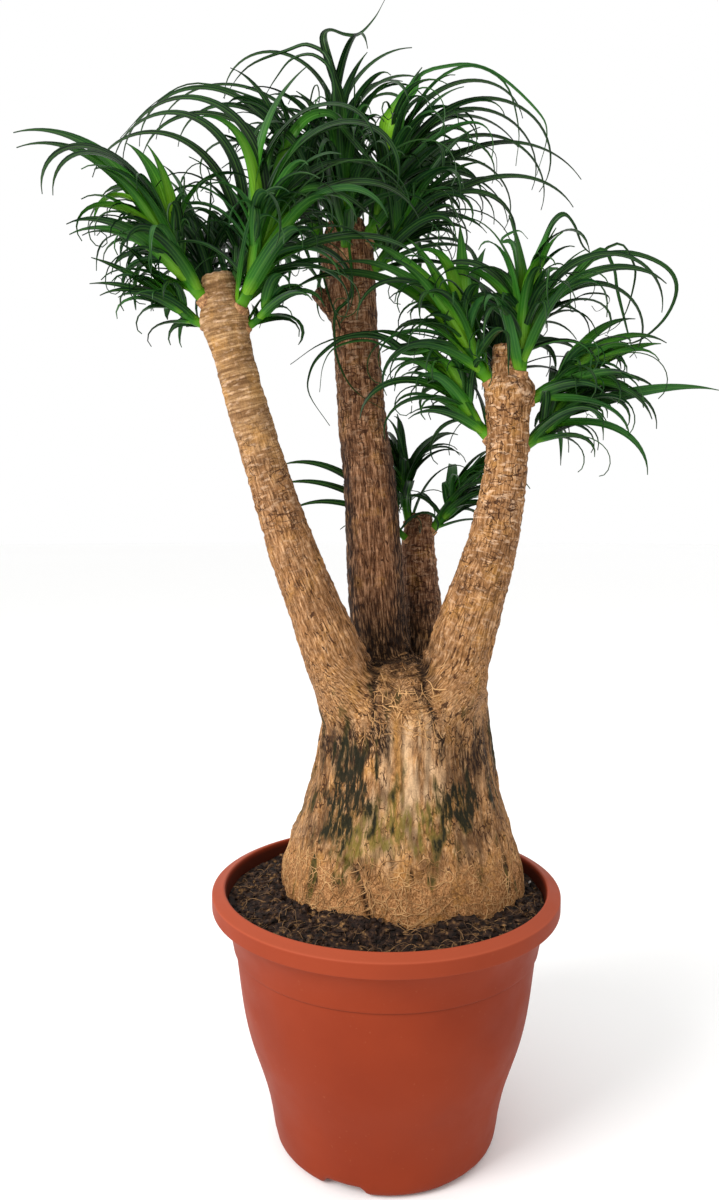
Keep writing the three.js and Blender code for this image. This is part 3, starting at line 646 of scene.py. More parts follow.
CAUDEX_SIDES = 96
caudex_line = flowing([(CAUDEX_CENTRE[0], CAUDEX_CENTRE[1], z, r) for z, r in CAUDEX], 8)
turns = np.arange(CAUDEX_SIDES) * 2 * np.pi / CAUDEX_SIDES
lean = caudex_line[:, 2:3] / 70
fluted = np.clip((caudex_line[:, 2:3] - 236) / 60, 0, 1) * 2.2
reach = caudex_line[:, 3:4] + fluted * (np.cos(9 * turns + lean) + 0.6 * np.cos(5 * turns - 1.3 * lean + 1))
rings = np.stack(
    [
        CAUDEX_CENTRE[0] + reach * np.cos(turns),
        CAUDEX_CENTRE[1] + reach * CAUDEX_DEPTH * np.sin(turns),
        caudex_line[:, 2:3] + 0 * reach,
    ],
    -1,
)
growth = [(rings.reshape(-1, 3), capped(len(rings), CAUDEX_SIDES))]
for line in stem_lines.values():
    growth.append(tube(line[:, :3], line[:, 3], 40))
foot, along = foot_of(SIDE_SPUR)
spur_line = foot + along * np.linspace(-10, SIDE_SPUR["reach"], 8)[:, None]
growth.append(tube(spur_line, np.linspace(SIDE_SPUR["girth"], 0.8 * SIDE_SPUR["girth"], 8), 20))


def ridged(points, size, seed, sharp):
    """Noise as thin winding furrows: 1 in a furrow, 0 away from it."""
    return np.clip(1 - sharp * np.abs(2 * grain(points, size, seed) - 1), 0, 1)


def apply_smooth(piece, group, rounds):
    """Evens out a piece's skin, or only the part of it in a vertex group."""
    ease = piece.modifiers.new("ease", "SMOOTH")
    ease.factor = 0.5
    ease.iterations = rounds
    ease.vertex_group = group
    apply_modifiers(piece)


bark_skin = new_piece("trunk_bark", *joined(growth), root_fibre)
remesh = bark_skin.modifiers.new("grid", "REMESH")
remesh.mode = "VOXEL"
remesh.voxel_size = BARK_GRID * MM
apply_modifiers(bark_skin)
count = len(bark_skin.data.vertices)
x, y, z = places_of(bark_skin.data).T
for name, weights, rounds in (
    ("crotch", 1 - np.abs(z - 435) / 80, CROTCH_ROUNDS),
    ("rear_crotch", np.minimum(1, 2 - np.abs(z - 448) / 26) * smooth_step(y, 14, 34), REAR_ROUNDS),
):
    group = bark_skin.vertex_groups.new(name=name)
    level = np.round(np.clip(weights, 0, 1) * 12).astype(int)
    for n in range(1, 13):
        group.add(np.nonzero(level == n)[0].tolist(), n / 12, "REPLACE")
    apply_smooth(bark_skin, name, rounds)
apply_smooth(bark_skin, "", 3)

# Where each point of the skin lies: on which stem, in the straightened grain of that stem, and how
# close to the crease where two of them meet.
bare, normal = places_of(bark_skin.data), places_of(bark_skin.data, "normal")
x, y, z = bare.T
nearest, second = np.full(count, 1e9), np.full(count, 1e9)
own, which = np.zeros((count, 3)), np.zeros(count, int)
off_side = np.zeros(count)
for n, line in enumerate(stem_lines.values()):
    along = np.gradient(line[:, :3], axis=0)
    along /= np.linalg.norm(along, axis=1)[:, None]
    run = np.concatenate([[0], np.cumsum(np.linalg.norm(np.diff(line[:, :3], axis=0), axis=1))])
    run += line[0, 2]
    table = np.column_stack([line[:, [0, 1, 3]], along[:, :2], run])
    cx, cy, r, tx, ty, length = (np.interp(z, line[:, 2], column) for column in table.T)
    dx, dy = x - cx, y - cy
    score = np.hypot(dx, dy) / r + (z > line[-1, 2] + 4) * 50
    second = np.minimum(second, np.maximum(nearest, score))
    nearer = score < nearest
    nearest = np.where(nearer, score, nearest)
    which = np.where(nearer, n, which)
    off_side = np.where(nearer, dx / r, off_side)
    length += np.minimum(0, z - line[0, 2]) + dx * tx + dy * ty
    mine = np.column_stack([dx + 500 * n, dy, length])
    own = np.where(nearer[:, None], mine, own)
base = np.column_stack([x - CAUDEX_CENTRE[0] - 900, y - CAUDEX_CENTRE[1], z])
on_stem = smooth_step(z, 415, 462)
around = np.degrees(np.arctan2(x - CAUDEX_CENTRE[0], -(y - CAUDEX_CENTRE[1])))
crease = hump(second, nearest, 0.16) * (second < 1.7)
crease *= between(z, 400, 425, 505, 540)
wavering = 7 * (grain(bare, 9, 23) - 0.5)
left_crease = hump(x + 12 - 0.04 * (z - 440) + wavering, 0, 2.8) * (1 - smooth_step(z, 466, 482))
right_crease = hump(x - 35 + 0.23 * (z - 441) + wavering, 0, 3.2) * (1 - smooth_step(z, 472, 486))
front_crease = (left_crease + right_crease) * smooth_step(z, 378, 410) * (y < 12)
knot = between(z, 404, 426, 472, 494) * np.exp(-(((x - 12) / 33) ** 4)) * (y < 34)

# Old leaf scars ring the upper stems and crack into small plates; lower down the bark stretches
# and splits lengthwise. The youngest length of the left stem is still smooth.
tops = np.array([line[-1, 2] for line in stem_lines.values()])
below_top = tops[which] - z
plated = on_stem * (1 - 0.8 * smooth_step(below_top, 150, 300))
split = 1 - 0.85 * on_stem * (1 - smooth_step(below_top, 110, 290))
young = (which == 0) * on_stem * (1 - smooth_step(below_top, 95, 200))
scar_lines = ridged(own * [0.16, 0.16, 1], 4.6, 1, 2.6)
plates = ridged(own * [1, 1, 0.35], 5.0, 3, 2.2)
fissures = ridged(own * [1, 1, 0.14], 4.4, 4, 1.8)
base_fissures = ridged(base * [1, 1, 0.16], 5.0, 5, 1.8)
base_furrows = ridged(base * [1, 1, 0.10], 12.0, 6, 2.0)
matted = (1 - on_stem) * (1 - smooth_step(z + 26 * (grain(base, 15, 8) - 0.5), 262, 296))
bared = (1 - on_stem) * (1 - matted)
tight = 1 - 0.75 * smooth_step(z, 388, 428)
sunken = plated * (0.5 * scar_lines + 0.3 * plates) * (1 - 0.6 * young)
sunken += on_stem * split * 0.7 * fissures + bared * tight * (0.9 * base_fissures + 1.1 * base_furrows)
relief = 1.5 * (grain(bare, 3.4, 10) - 0.5) * (0.45 + 0.55 * on_stem)
relief += matted * 1.3 * (grain(bare, 2.3, 7) - 0.5)
relief += 3.2 * (grain(base, 17, 9) - 0.5) * (1 - on_stem) + (grain(own, 9, 11) - 0.5) * on_stem
slit = hump(around, 2.2, 0.9) * hump(z, 281, 7) * (y < 0)
cleft_off = np.full(count, 1e9)
for (angle_a, z_a), (angle_b, z_b) in zip(CLEFT, CLEFT[1:]):
    a, ab = np.array([2 * angle_a, z_a]), np.array([2 * (angle_b - angle_a), z_b - z_a])
    spot = np.column_stack([2 * around, z + 2.5 * (grain(bare, 5, 31) - 0.5)]) - a
    share = np.clip(spot @ ab / (ab @ ab), 0, 1)
    cleft_off = np.minimum(cleft_off, np.hypot(*(spot - share[:, None] * ab).T))
cleft = hump(cleft_off, 0, 2.6) * (y < 0)
wrinkles = ridged(bare * [0.5, 0.5, 1.25] + 900, 8.5, 21, 1.9)
relief += knot * (7 * (grain(bare, 15, 22) - 0.5) - 3.2 * wrinkles)
relief -= sunken + 3.5 * slit + 3.2 * crease + 2.8 * front_crease + 4.2 * cleft
shaped = bare + normal * relief[:, None]
bark_skin.data.vertices.foreach_set("co", (shaped * MM).ravel())
bark_skin.data.update()


def patch(angle, height, wide, tall):
    """A soft-edged patch on the swollen base, centred at an angle from the front and a height."""
    off = (around - angle + 180) % 360 - 180
    return np.exp(-((off / wide) ** 2) - ((z - height) / tall) ** 2)


def marked(marks):
    """Several patches at once, each given as its strength and what patch takes."""
    return sum(strength * patch(*where) for strength, *where in marks)


def band(angle, wide, low, high):
    """A wavering upright stripe on the swollen base, at an angle from the front."""
    off = around - angle + 1.4 * np.sin(z / 12 + angle)
    return hump(off, 0, wide) * between(z, low - 14, low + 14, high - 10, high + 6)


strand_noise = grain(base * [1, 1, 0.13], 3.0, 17) - 0.5
tatter = 0.7 * (grain(base * [1, 1, 0.45], 10, 12) - 0.5) + 0.8 * strand_noise
tatter += 1.3 * (grain(base * [1, 1, 0.13], 6.5, 32) - 0.5)
mossy, greenish, stained = (marked(marks) for marks in (MOSS, LICHEN, STAINS))
# A painted shadow along the thick roots that run down beside the cleft.
rooted = hump(around + 17 + 0.09 * (z - 240) + 1.2 * np.sin(z / 6), 0, 1.3)
rooted *= between(z, 238, 250, 286, 306) * (y < 0)
inner_crotch = between(z, 434, 452, 470, 560) * (y > -10) * (np.abs(x - 14) < 52)
# Algae down the sides of the centre stem, with painted shade darkening them further.
algae = (which == 1) * smooth_step(np.abs(off_side), 0.55, 0.95) * (1 - smooth_step(z, 600, 720)) * on_stem
streaks = grain(base * [1, 1, 0.10], 2.4, 15) * 0.55 + grain(base * [1, 1, 0.10], 7, 16) * 0.45
dark_knot = knot * smooth_step(z + 30 * (grain(bare, 8, 24) - 0.5), 424, 446) * (1 - 0.3 * (x > 34))
shade_side = (which == 1) * on_stem * smooth_step(np.abs(off_side), 0.25, 0.9)
# What darkens the bark: dark patches; painted shade in the creases, the cleft, the slit and the crotch
# between the stems; painted shade and algae down the centre stem's sides; a painted shadow along the roots;
# and darker bark over the upper knot.
darkened = 0.85 * smooth_step(stained + tatter, 0.4, 1.0) * (1 - on_stem) + crease + front_crease + cleft
for strength, where in (
    (0.8, inner_crotch), (0.7, algae), (1, slit), (0.4, dark_knot), (0.6, rooted), (0.35, shade_side),
):
    darkened += strength * where
paler = np.clip(4 * (streaks - 0.44), 0, 1) * (0.2 + 1.1 * patch(2, 360, 20, 66))
for strength, where in (
    (0.6, band(1, 4.2, 330, 416)), (0.5, band(-14, 2.2, 330, 404)),
    (0.6, band(-24, 2.6, 296, 350)), (0.6, patch(-12, 300, 7, 12)),
):
    paler += strength * where
traits = {
    "bark_plated": plated * (1 - 0.85 * young),
    "bark_split": split * (1 - matted) * (1 - 0.85 * young) * (1 - 0.75 * patch(0, 366, 15, 60)),
    "bark_sunken": np.clip(sunken + 1.5 * knot * wrinkles, 0, 1.6),
    "bark_scaly": bared * (1 - 0.95 * patch(0, 360, 20, 80)) * smooth_step(z, 285, 330) + 1.3 * knot,
    "bark_moss": smooth_step(mossy + tatter, 0.25, 1.05) * (1 - on_stem) * (1 - 0.6 * matted),
    "bark_lichen": smooth_step(greenish + tatter, 0.25, 1.0) * (1 - on_stem),
    "bark_stain": np.clip(darkened, 0, 1),
    "bark_pale": bared * np.clip(paler, 0, 1),
    "bark_ochre": 0.5 * bared * band(-7, 2.8, 300, 416),
    "bark_russet": np.choose(which, [0.3, 0.85, 0.2, 1.0]) * smooth_step(z, 440, 520),
    "bark_young": young.astype(float),
    "bark_matted": matted,
    "bark_glint": plated * np.choose(which, [0.7, 0.5, 1.0, 0.45]),
}
joining = smooth_step(z, 378, 472)[:, None]
flow = (base + [900, 0, 0]) * (1 - joining) + (own - [500, 0, 0] * which[:, None]) * joining
give_traits(bark_skin.data, {**traits, "bark_grain": flow * MM})

# Corky bark: dull and fibrous, tan to russet, its fibres drawn out lengthwise and 2 mm apart, coarser
# than real ones, so that they show. Rows of leaf scars 4 mm apart crack it near the tops and cross
# short splits; lower down only long thin splits and loose scales are left. Paler cork shows where
# the outside has split away, and moss darkens the base.
cork, tree = new_material("corky_bark")
trait = {name: add(tree, "Attribute", attribute_name=name).outputs["Fac"] for name in traits}
grainwise = add(tree, "Attribute", attribute_name="bark_grain").outputs["Vector"]
place = add(tree, "TexCoord").outputs["Object"]
wander = add(tree, "TexNoise", {"Vector": place, "Scale": 130.0, "Detail": 3.0}).outputs["Color"]
patchy = add(tree, "TexNoise", {"Vector": place, "Scale": 95.0, "Detail": 2.0})
kept = add(tree, "MapRange", {0: patchy, 1: 0.40, 2: 0.56, 3: 0.15, 4: 1.0})
cracks = []
for spacing, waver, thin, where in (
    ((55, 55, 230), (0.5, 0.5, 0.9), 0.88, "bark_plated"),
    ((220, 220, 75), (0.9, 0.9, 0.5), 0.89, "bark_plated"),
    ((300, 300, 32), (0.9, 0.9, 0.3), 0.86, "bark_split"),
    ((150, 150, 80), (1.6, 1.6, 1.6), 0.87, "bark_scaly"),
):
    lines = add(tree, "Mapping", {"Vector": grainwise, "Scale": spacing})
    lines = add(tree, "VectorMath", {0: wander, 1: waver, 2: lines}, operation="MULTIPLY_ADD")
    even = {"Vector": lines, "Scale": 1.0, "Detail": 0.0, "Offset": 1.0}
    ridges = add(tree, "TexNoise", even, noise_type="RIDGED_MULTIFRACTAL")
    dark = add(tree, "MapRange", {0: ridges, 1: thin, 2: thin + 0.08, 3: 0.0, 4: 1.0})
    dark = add(tree, "Math", {0: dark, 1: trait[where]}, operation="MULTIPLY")
    cracks.append(add(tree, "Math", {0: dark, 1: kept}, operation="MULTIPLY"))
crack = cracks[0]
for other in cracks[1:]:
    crack = add(tree, "Math", {0: crack, 1: other}, operation="MAXIMUM")
drawn_out = add(tree, "Mapping", {"Vector": grainwise, "Scale": (1, 1, 0.14)})
fibre = add(tree, "TexNoise", {"Vector": drawn_out, "Scale": 560.0, "Detail": 6.0, "Roughness": 0.62})
blotch = add(tree, "TexNoise", {"Vector": place, "Scale": 48.0, "Detail": 6.0, "Roughness": 0.6})
crumb = add(tree, "TexNoise", {"Vector": place, "Scale": 620.0, "Detail": 4.0, "Roughness": 0.7})
ringed = add(tree, "Mapping", {"Vector": grainwise, "Scale": (30, 30, 520)})
ringed = add(tree, "TexNoise", {"Vector": ringed, "Scale": 1.0, "Detail": 3.0})
tan = add(
    tree,
    "ValToRGB",
    {"Fac": fibre},
    [(0.34, "#62401F"), (0.46, "#95683D"), (0.56, "#B28457"), (0.67, "#D0A67B")],
)
russet = add(tree, "ValToRGB", {"Fac": fibre}, [(0.35, "#2A180C"), (0.49, "#704830"), (0.63, "#B08362")])
smooth = add(tree, "ValToRGB", {"Fac": ringed}, [(0.32, "#6C4D2D"), (0.5, "#916D46"), (0.70, "#BE986C")])
mat = add(tree, "ValToRGB", {"Fac": crumb}, [(0.34, "#6E4724"), (0.50, "#9C6C41"), (0.66, "#BE8F61")])
dull = add(tree, "MapRange", {0: blotch, 1: 0.36, 2: 0.54, 3: 0.4, 4: 0.0})
ochre = add(tree, "MapRange", {0: blotch, 1: 0.54, 2: 0.66, 3: 0.0, 4: 0.35})
ochre = add(tree, "Math", {0: ochre, 1: trait["bark_ochre"]}, operation="MAXIMUM")
glint_grid = add(tree, "Mapping", {"Vector": grainwise, "Scale": (120, 120, 320)})
glint = add(tree, "TexNoise", {"Vector": glint_grid, "Scale": 1.0, "Detail": 2.0})
glint = add(tree, "MapRange", {0: glint, 1: 0.54, 2: 0.70, 3: 0.0, 4: 0.75})
glint = add(tree, "Math", {0: glint, 1: trait["bark_glint"]}, operation="MULTIPLY")
colour = tan
for share, paint in (
    (trait["bark_russet"], russet),
    (trait["bark_young"], smooth),
    (dull, "#5A3A24"),
    (trait["bark_pale"], "#CDA880"),
    (trait["bark_matted"], mat),
    (ochre, "#B5823F"),
    (glint, "#DCB795"),
):
    colour = add(tree, "Mix", {0: share, 6: colour, 7: paint}, data_type="RGBA")
speckled = add(tree, "MapRange", {0: crumb, 1: 0.36, 2: 0.62, 3: 0.8, 4: 1.12})
colour = add(tree, "Mix", {0: 1.0, 6: colour, 7: speckled}, data_type="RGBA", blend_type="MULTIPLY")
# Painted shade in the sunken scars, splits and furrows.
hollow = add(tree, "MapRange", {0: trait["bark_sunken"], 1: 0.4, 2: 1.5, 3: 0.0, 4: 0.6})
crack_shade = add(tree, "MapRange", {0: crack, 1: 0.05, 2: 0.75, 3: 0.0, 4: 0.9})
streaky = add(tree, "MapRange", {0: fibre, 1: 0.34, 2: 0.60, 3: 1.3, 4: 0.35})
# Dark patches and painted shade, broken up along the fibres.
stain = add(tree, "Math", {0: trait["bark_stain"], 1: streaky}, operation="MULTIPLY")
stain = add(tree, "MapRange", {0: stain, 1: 0.08, 2: 0.8, 3: 0.0, 4: 0.96})
weathered = add(tree, "Mapping", {"Vector": grainwise, "Scale": (290, 290, 42)})
weathered = add(tree, "TexNoise", {"Vector": weathered, "Scale": 1.0, "Detail": 4.0, "Roughness": 0.6})
tattered = add(tree, "MapRange", {0: weathered, 1: 0.36, 2: 0.62, 3: 1.35, 4: 0.1})
moss = add(tree, "Math", {0: trait["bark_moss"], 1: tattered}, operation="MULTIPLY")
lichen = add(tree, "Math", {0: trait["bark_lichen"], 1: tattered}, operation="MULTIPLY")
lichen = add(tree, "MapRange", {0: lichen, 1: 0.0, 2: 0.9, 3: 0.0, 4: 0.8})
film = add(tree, "MapRange", {0: moss, 1: 0.1, 2: 1.0, 3: 0.0, 4: 0.42})
dark_moss = add(tree, "MapRange", {0: moss, 1: 0.06, 2: 0.72, 3: 0.0, 4: 0.96})
# Darker mixes: painted shade in the hollows and cracks, dark patches with painted shade, then lichen and
# moss.
for share, paint in (
    (hollow, "#34200F"),
    (crack_shade, "#371D0E"),
    (stain, "#1E120B"),
    (lichen, "#6C5F24"),
    (film, "#4A4226"),
    (dark_moss, "#1B1A0E"),
):
    colour = add(tree, "Mix", {0: share, 6: colour, 7: paint}, data_type="RGBA")
depth = add(tree, "Math", {0: crack, 1: -1.2, 2: fibre}, operation="MULTIPLY_ADD")
furrow = add(tree, "Bump", {"Height": depth, "Strength": 0.6, "Distance": 0.0014})
hair = add(tree, "Bump", {"Height": crumb, "Normal": furrow, "Strength": 0.55, "Distance": 0.0008})
dryness = add(tree, "MapRange", {0: blotch, 1: 0.3, 2: 0.7, 3: 0.62, 4: 0.85})
corky = add(
    tree,
    "BsdfPrincipled",
    {"Base Color": colour, "Roughness": dryness, "Normal": hair, "IOR": 1.45, "Specular IOR Level": 0.15},
)
add(tree, "OutputMaterial", {"Surface": corky})
bark_skin.data.materials.clear()
bark_skin.data.materials.append(cork)
bark_skin.data.shade_smooth()
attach(bark_skin, "root")
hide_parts("trunk")

# Fine roots that mat the foot of the swollen base, lying on its skin, a few thicker ones that run down
# beside its cleft, and shreds of bark over the knot between the stems: golden tan, fibrous and matt.
fine_root, tree = new_material("fine_root")
place = add(tree, "TexCoord").outputs["Object"]
stain = add(tree, "TexNoise", {"Vector": place, "Scale": 60.0, "Detail": 3.0})
shade = add(tree, "ValToRGB", {"Fac": stain}, [(0.35, "#7E5630"), (0.65, "#C99D6A")])
strand = add(tree, "BsdfPrincipled", {"Base Color": shade, "Roughness": 0.8, "Specular IOR Level": 0.2})
add(tree, "OutputMaterial", {"Surface": strand})

ROOT_COUNT = 1100
ROOT_STEP = 2.2
ROOT_GAP = 0.05
ROOT_LOWEST = 234
ROOT_HIGHEST = 322
CLEFT_ROOTS = 9
SHRED_COUNT = 110
CLEFT_FOOT = -113
ROOT_REACH = (130, 115)


def surface_of(mesh):
    """A mesh's surface, to find the place on it that is nearest to a point."""
    return BVHTree.FromPolygons([v.co for v in mesh.vertices], [tuple(p.vertices) for p in mesh.polygons])


root_draw = np.random.default_rng(19)
bark_tree = surface_of(bark_skin.data)
strands = []
for n in range(ROOT_COUNT):
    if n < CLEFT_ROOTS:
        angle = math.radians(CLEFT_FOOT + root_draw.uniform(0, 5))
        level = 284 + 16 * root_draw.random()
        slant, turning = 0.2 * root_draw.uniform(-1.3, 1.3), 0.1 * root_draw.uniform(-0.25, 0.25)
        thickness, steps = root_draw.uniform(0.35, 0.6), 26
    else:
        angle = root_draw.uniform(0, 2 * np.pi)
        level = 240 + 58 * root_draw.random() ** 1.4
        slant, turning = root_draw.uniform(-1.3, 1.3), root_draw.uniform(-0.25, 0.25)
        thickness, steps = root_draw.uniform(0.15, 0.42), root_draw.integers(7, 18)
    line = []
    for step in range(steps):
        away = ROOT_REACH[0] * math.cos(angle), ROOT_REACH[1] * math.sin(angle)
        spot = Vector((CAUDEX_CENTRE[0] + away[0], CAUDEX_CENTRE[1] + away[1], level))
        hit, facing, _, _ = bark_tree.find_nearest(spot * MM)
        touched = np.array(hit) / MM + np.array(facing) * 0.2
        if all(np.linalg.norm(touched - passed) > ROOT_GAP for passed in line[-2:]):
            line.append(touched)
        slant += turning + root_draw.uniform(-0.4, 0.4)
        angle += 0.018 * math.sin(slant)
        level -= ROOT_STEP * math.cos(slant)
        if not ROOT_LOWEST < level < ROOT_HIGHEST:
            break
    if len(line) > 4:
        strands.append(tube(flowing(line, 2), thickness, 4))
for n in range(SHRED_COUNT):
    x, level = root_draw.uniform(-20, 42), root_draw.uniform(398, 462)
    slant = root_draw.choice([root_draw.uniform(-0.5, 0.5), root_draw.uniform(0.9, 2.2)])
    line = []
    for step in range(root_draw.integers(4, 10)):
        hit, facing, _, _ = bark_tree.ray_cast(Vector((x, -200, level)) * MM, Vector((0, 1, 0)))
        line.append(np.array(hit) / MM + np.array(facing) * 0.4)
        slant += root_draw.uniform(-0.35, 0.35)
        x, level = x + ROOT_STEP * math.sin(slant), level - ROOT_STEP * math.cos(slant)
        if len(line) > 1 and np.linalg.norm(line[-1] - line[-2]) > 2.5 * ROOT_STEP:
            line.pop()
            break
    if len(line) > 3:
        strands.append(tube(flowing(line, 2), root_draw.uniform(0.25, 0.6), 4))
root_hairs = new_piece("matted_roots", *joined(strands), fine_root)
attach(root_hairs, "root")

# ---------------------------------------------------------------- leafy shoots
# Each stem carries shoots: a short green stub out of a dark corky collar, crowded with long strap
# leaves that arch over, roll, and draw out to curling threads. Every leaf grows by the same rule.

STUB_STEPS = 3
STUB_GIRTHS = (0.68, 0.38)
GOLDEN_ANGLE = 137.508
ROOT_PLACES = (0.4, 1)
SPLAYS = (62, 10)
BENDS = (150, 95)
WIDTHS = (8, 14)
LENGTH_SHARES = (0.75, 1.15)
LOWEST_RISE = 10
DRIFT = 120
ROLL = 70
LEADING_PLACES = (0.95, 0.6)
LEADING_ROLL = 55
TURN_STEP = 6
TURN_TRIES = 14
RAISE_STEP = 3
SHORTER_SHARES = (1, 0.8, 0.6)
BLADE_SAG = 6.5
FINE_STEP = 6
TIP_WIDTH = 0.7
CLASPERS = 12
CLASP_PLACES = (0.05, 0.9)
CLASP_SPLAYS = (26, 6)
CLASP_LENGTHS = (0.7, 1.05)
LONGEST_CLASPER = 125
CLASP_BENDS = (60, 20)
CLASP_CURLS = (20, 110)
CLASP_WIDTHS = (1.1, 1.6)
FILLERS = 18
FILLER_WIDTHS = (0.5, 1.0)
FILLER_LENGTHS = (0.5, 0.95)
FILLER_CURLS = (0, 110)
THREADS = 5
THREAD_WIDTHS = (0.12, 0.26)
THREAD_LENGTHS = (0.9, 1.3)
THREAD_CURLS = (40, 420)
STEEPEST_DROOP = 68
NEAREST_FRONT = -199
LIME_REACH = 165
ARCHED_BEND = 130
SPARSEST_GIRTH = 5
FULL_GIRTH = 9
LOW_RISE = 30
LONG_BLADE = 120
LOW_HEART = 0.35
NEAR_BARK = 0.03
BARK_GAP = 0.0015
NODE_GAP = 0.0025
SHOOTS = []


def shoot(name, stem, height, side, heading, rise, reach, girth, lift, blades, length, leading):
    """One shoot: its stem, the height and side that it leaves from, how its stub heads, rises,
    reaches and lifts, its thickness, its leaves, and the leading ones that give its outline, each
    with a heading, a rise, a length, a bend and a width."""
    SHOOTS.append(locals().copy())


shoot(
    "left_low_outer_shoot", "left", 758, 172, 182, 22, 34, 7, 30, 5, 70,
    [(182, 36, 78, 20, 10), (176, 26, 78, 30, 9), (186, 58, 72, 20, 11), (196, 30, 70, 60, 9)],
)
shoot(
    "left_outer_shoot", "left", 777, 208, 192, 48, 48, 10, 14, 6, 110,
    [(181, 66, 174, 74, 17), (178, 62, 170, 66, 15), (216, 76, 175, 165, 17),
     (224, 74, 166, 165, 15), (166, 84, 112, 40, 18), (195, 88, 98, 24, 17),
     (176, 74, 112, 40, 17), (184, 40, 100, 60, 12)],
)
shoot(
    "left_inner_shoot", "left", 770, 328, 335, 56, 48, 10, 18, 6, 150,
    [(350, 98, 160, 60, 16), (170, 102, 250, 188, 14), (330, 97, 215, 185, 16),
     (340, 86, 225, 185, 17), (320, 70, 128, 90, 17), (334, 54, 150, 110, 15),
     (352, 60, 175, 120, 15), (12, 78, 190, 130, 14), (342, 24, 150, 60, 14)],
)
shoot(
    "left_low_inner_shoot", "left", 755, 350, 350, 30, 24, 6, 20, 4, 60,
    [(345, 40, 60, 110, 8)],
)
shoot(
    "left_rear_outer_shoot", "left", 776, 128, 120, 58, 46, 9, 16, 6, 125,
    [(172, 74, 160, 150, 13), (150, 66, 150, 150, 11), (60, 74, 150, 120, 13)],
)
shoot(
    "left_rear_inner_shoot", "left", 786, 48, 60, 62, 46, 9, 14, 6, 140,
    [(168, 96, 230, 172, 14), (174, 84, 215, 150, 13), (20, 78, 150, 100, 14)],
)
shoot(
    "centre_top_shoot", "centre", 868, 120, 120, 84, 66, 11, 0, 7, 140,
    [(205, 90, 118, 10, 17), (290, 98, 176, 165, 15), (182, 98, 214, 180, 10),
     (178, 62, 235, 130, 8), (25, 84, 140, 70, 14), (352, 93, 158, 90, 11), (168, 84, 100, 40, 17),
     (330, 80, 140, 150, 14), (350, 84, 150, 110, 13)],
)
shoot(
    "centre_right_upper_shoot", "centre", 854, 335, 345, 60, 60, 10, 18, 6, 160,
    [(352, 83, 104, 18, 20), (350, 62, 105, 60, 18), (0, 66, 250, 190, 10), (8, 68, 230, 180, 10),
     (350, 82, 200, 150, 13), (20, 70, 190, 120, 11)],
)
shoot(
    "centre_right_rear_shoot", "centre", 848, 35, 28, 50, 58, 9, 16, 7, 160,
    [(2, 62, 225, 170, 10), (5, 50, 225, 100, 10), (10, 64, 200, 180, 9)],
)
shoot(
    "centre_right_low_shoot", "centre", 826, 340, 340, 36, 44, 8, 22, 6, 135,
    [(350, 42, 180, 90, 11), (340, 48, 145, 135, 12), (355, 56, 165, 160, 11)],
)
shoot(
    "centre_front_shoot", "centre", 842, 268, 265, 56, 46, 8, 16, 6, 130,
    [(300, 76, 160, 150, 14), (240, 66, 140, 150, 12), (20, 56, 110, 80, 14)],
)
shoot(
    "centre_left_shoot", "centre", 850, 190, 190, 62, 60, 9, 16, 7, 150,
    [(180, 70, 225, 150, 13), (188, 60, 195, 135, 14), (178, 80, 190, 150, 14)],
)
shoot(
    "centre_rear_shoot", "centre", 840, 92, 95, 60, 60, 9, 14, 8, 160,
    [(120, 76, 200, 130, 13), (70, 74, 190, 120, 13)],
)
shoot(
    "right_inner_shoot", "right", 712, 196, 196, 50, 52, 9, 16, 6, 115,
    [(170, 58, 118, 34, 17), (184, 52, 130, 60, 15), (95, 86, 104, 20, 16), (60, 76, 100, 30, 14),
     (196, 64, 140, 150, 12), (176, 50, 185, 85, 14)],
)
shoot(
    "right_upper_shoot", "right", 718, 316, 300, 78, 40, 10, 8, 7, 120,
    [(190, 88, 94, 14, 18), (340, 82, 92, 16, 18), (0, 68, 180, 165, 13), (350, 54, 140, 95, 15),
     (180, 78, 125, 130, 15), (300, 78, 92, 30, 16), (6, 60, 175, 190, 11), (300, 96, 150, 165, 13)],
)
shoot(
    "right_outer_shoot", "right", 697, 4, 357, 20, 38, 9, 24, 6, 90,
    [(0, 28, 110, 14, 15), (350, 50, 100, 80, 12), (10, 64, 95, 60, 12), (352, 10, 95, 80, 11)],
)
shoot(
    "right_low_outer_shoot", "right", 656, 15, 15, 34, 42, 8, 18, 6, 95,
    [(358, 20, 148, 24, 15), (350, 44, 118, 130, 11), (5, 54, 120, 100, 12), (340, 10, 112, 96, 10)],
)
shoot(
    "right_low_inner_shoot", "right", 664, 160, 166, 48, 46, 9, 16, 6, 100,
    [(170, 60, 110, 60, 16), (160, 68, 105, 90, 14), (182, 40, 120, 120, 11)],
)
shoot(
    "right_rear_shoot", "right", 706, 92, 90, 56, 46, 9, 16, 8, 110,
    [(60, 70, 130, 110, 14), (130, 76, 120, 100, 14), (40, 60, 115, 190, 11), (10, 40, 85, 80, 13)],
)
shoot(
    "back_top_shoot", "back", 590, 190, 190, 78, 44, 8, 6, 6, 90,
    [(250, 86, 70, 30, 15), (170, 80, 85, 70, 13), (330, 76, 90, 90, 13), (20, 74, 85, 60, 13)],
)
shoot(
    "back_right_shoot", "back", 582, 345, 350, 46, 38, 8, 16, 6, 90,
    [(355, 60, 105, 60, 13), (320, 30, 95, 110, 10)],
)
shoot(
    "back_left_shoot", "back", 572, 215, 190, 42, 28, 6, 24, 5, 75,
    [(178, 50, 135, 60, 12), (181, 38, 125, 50, 11), (186, 28, 115, 50, 9)],
)


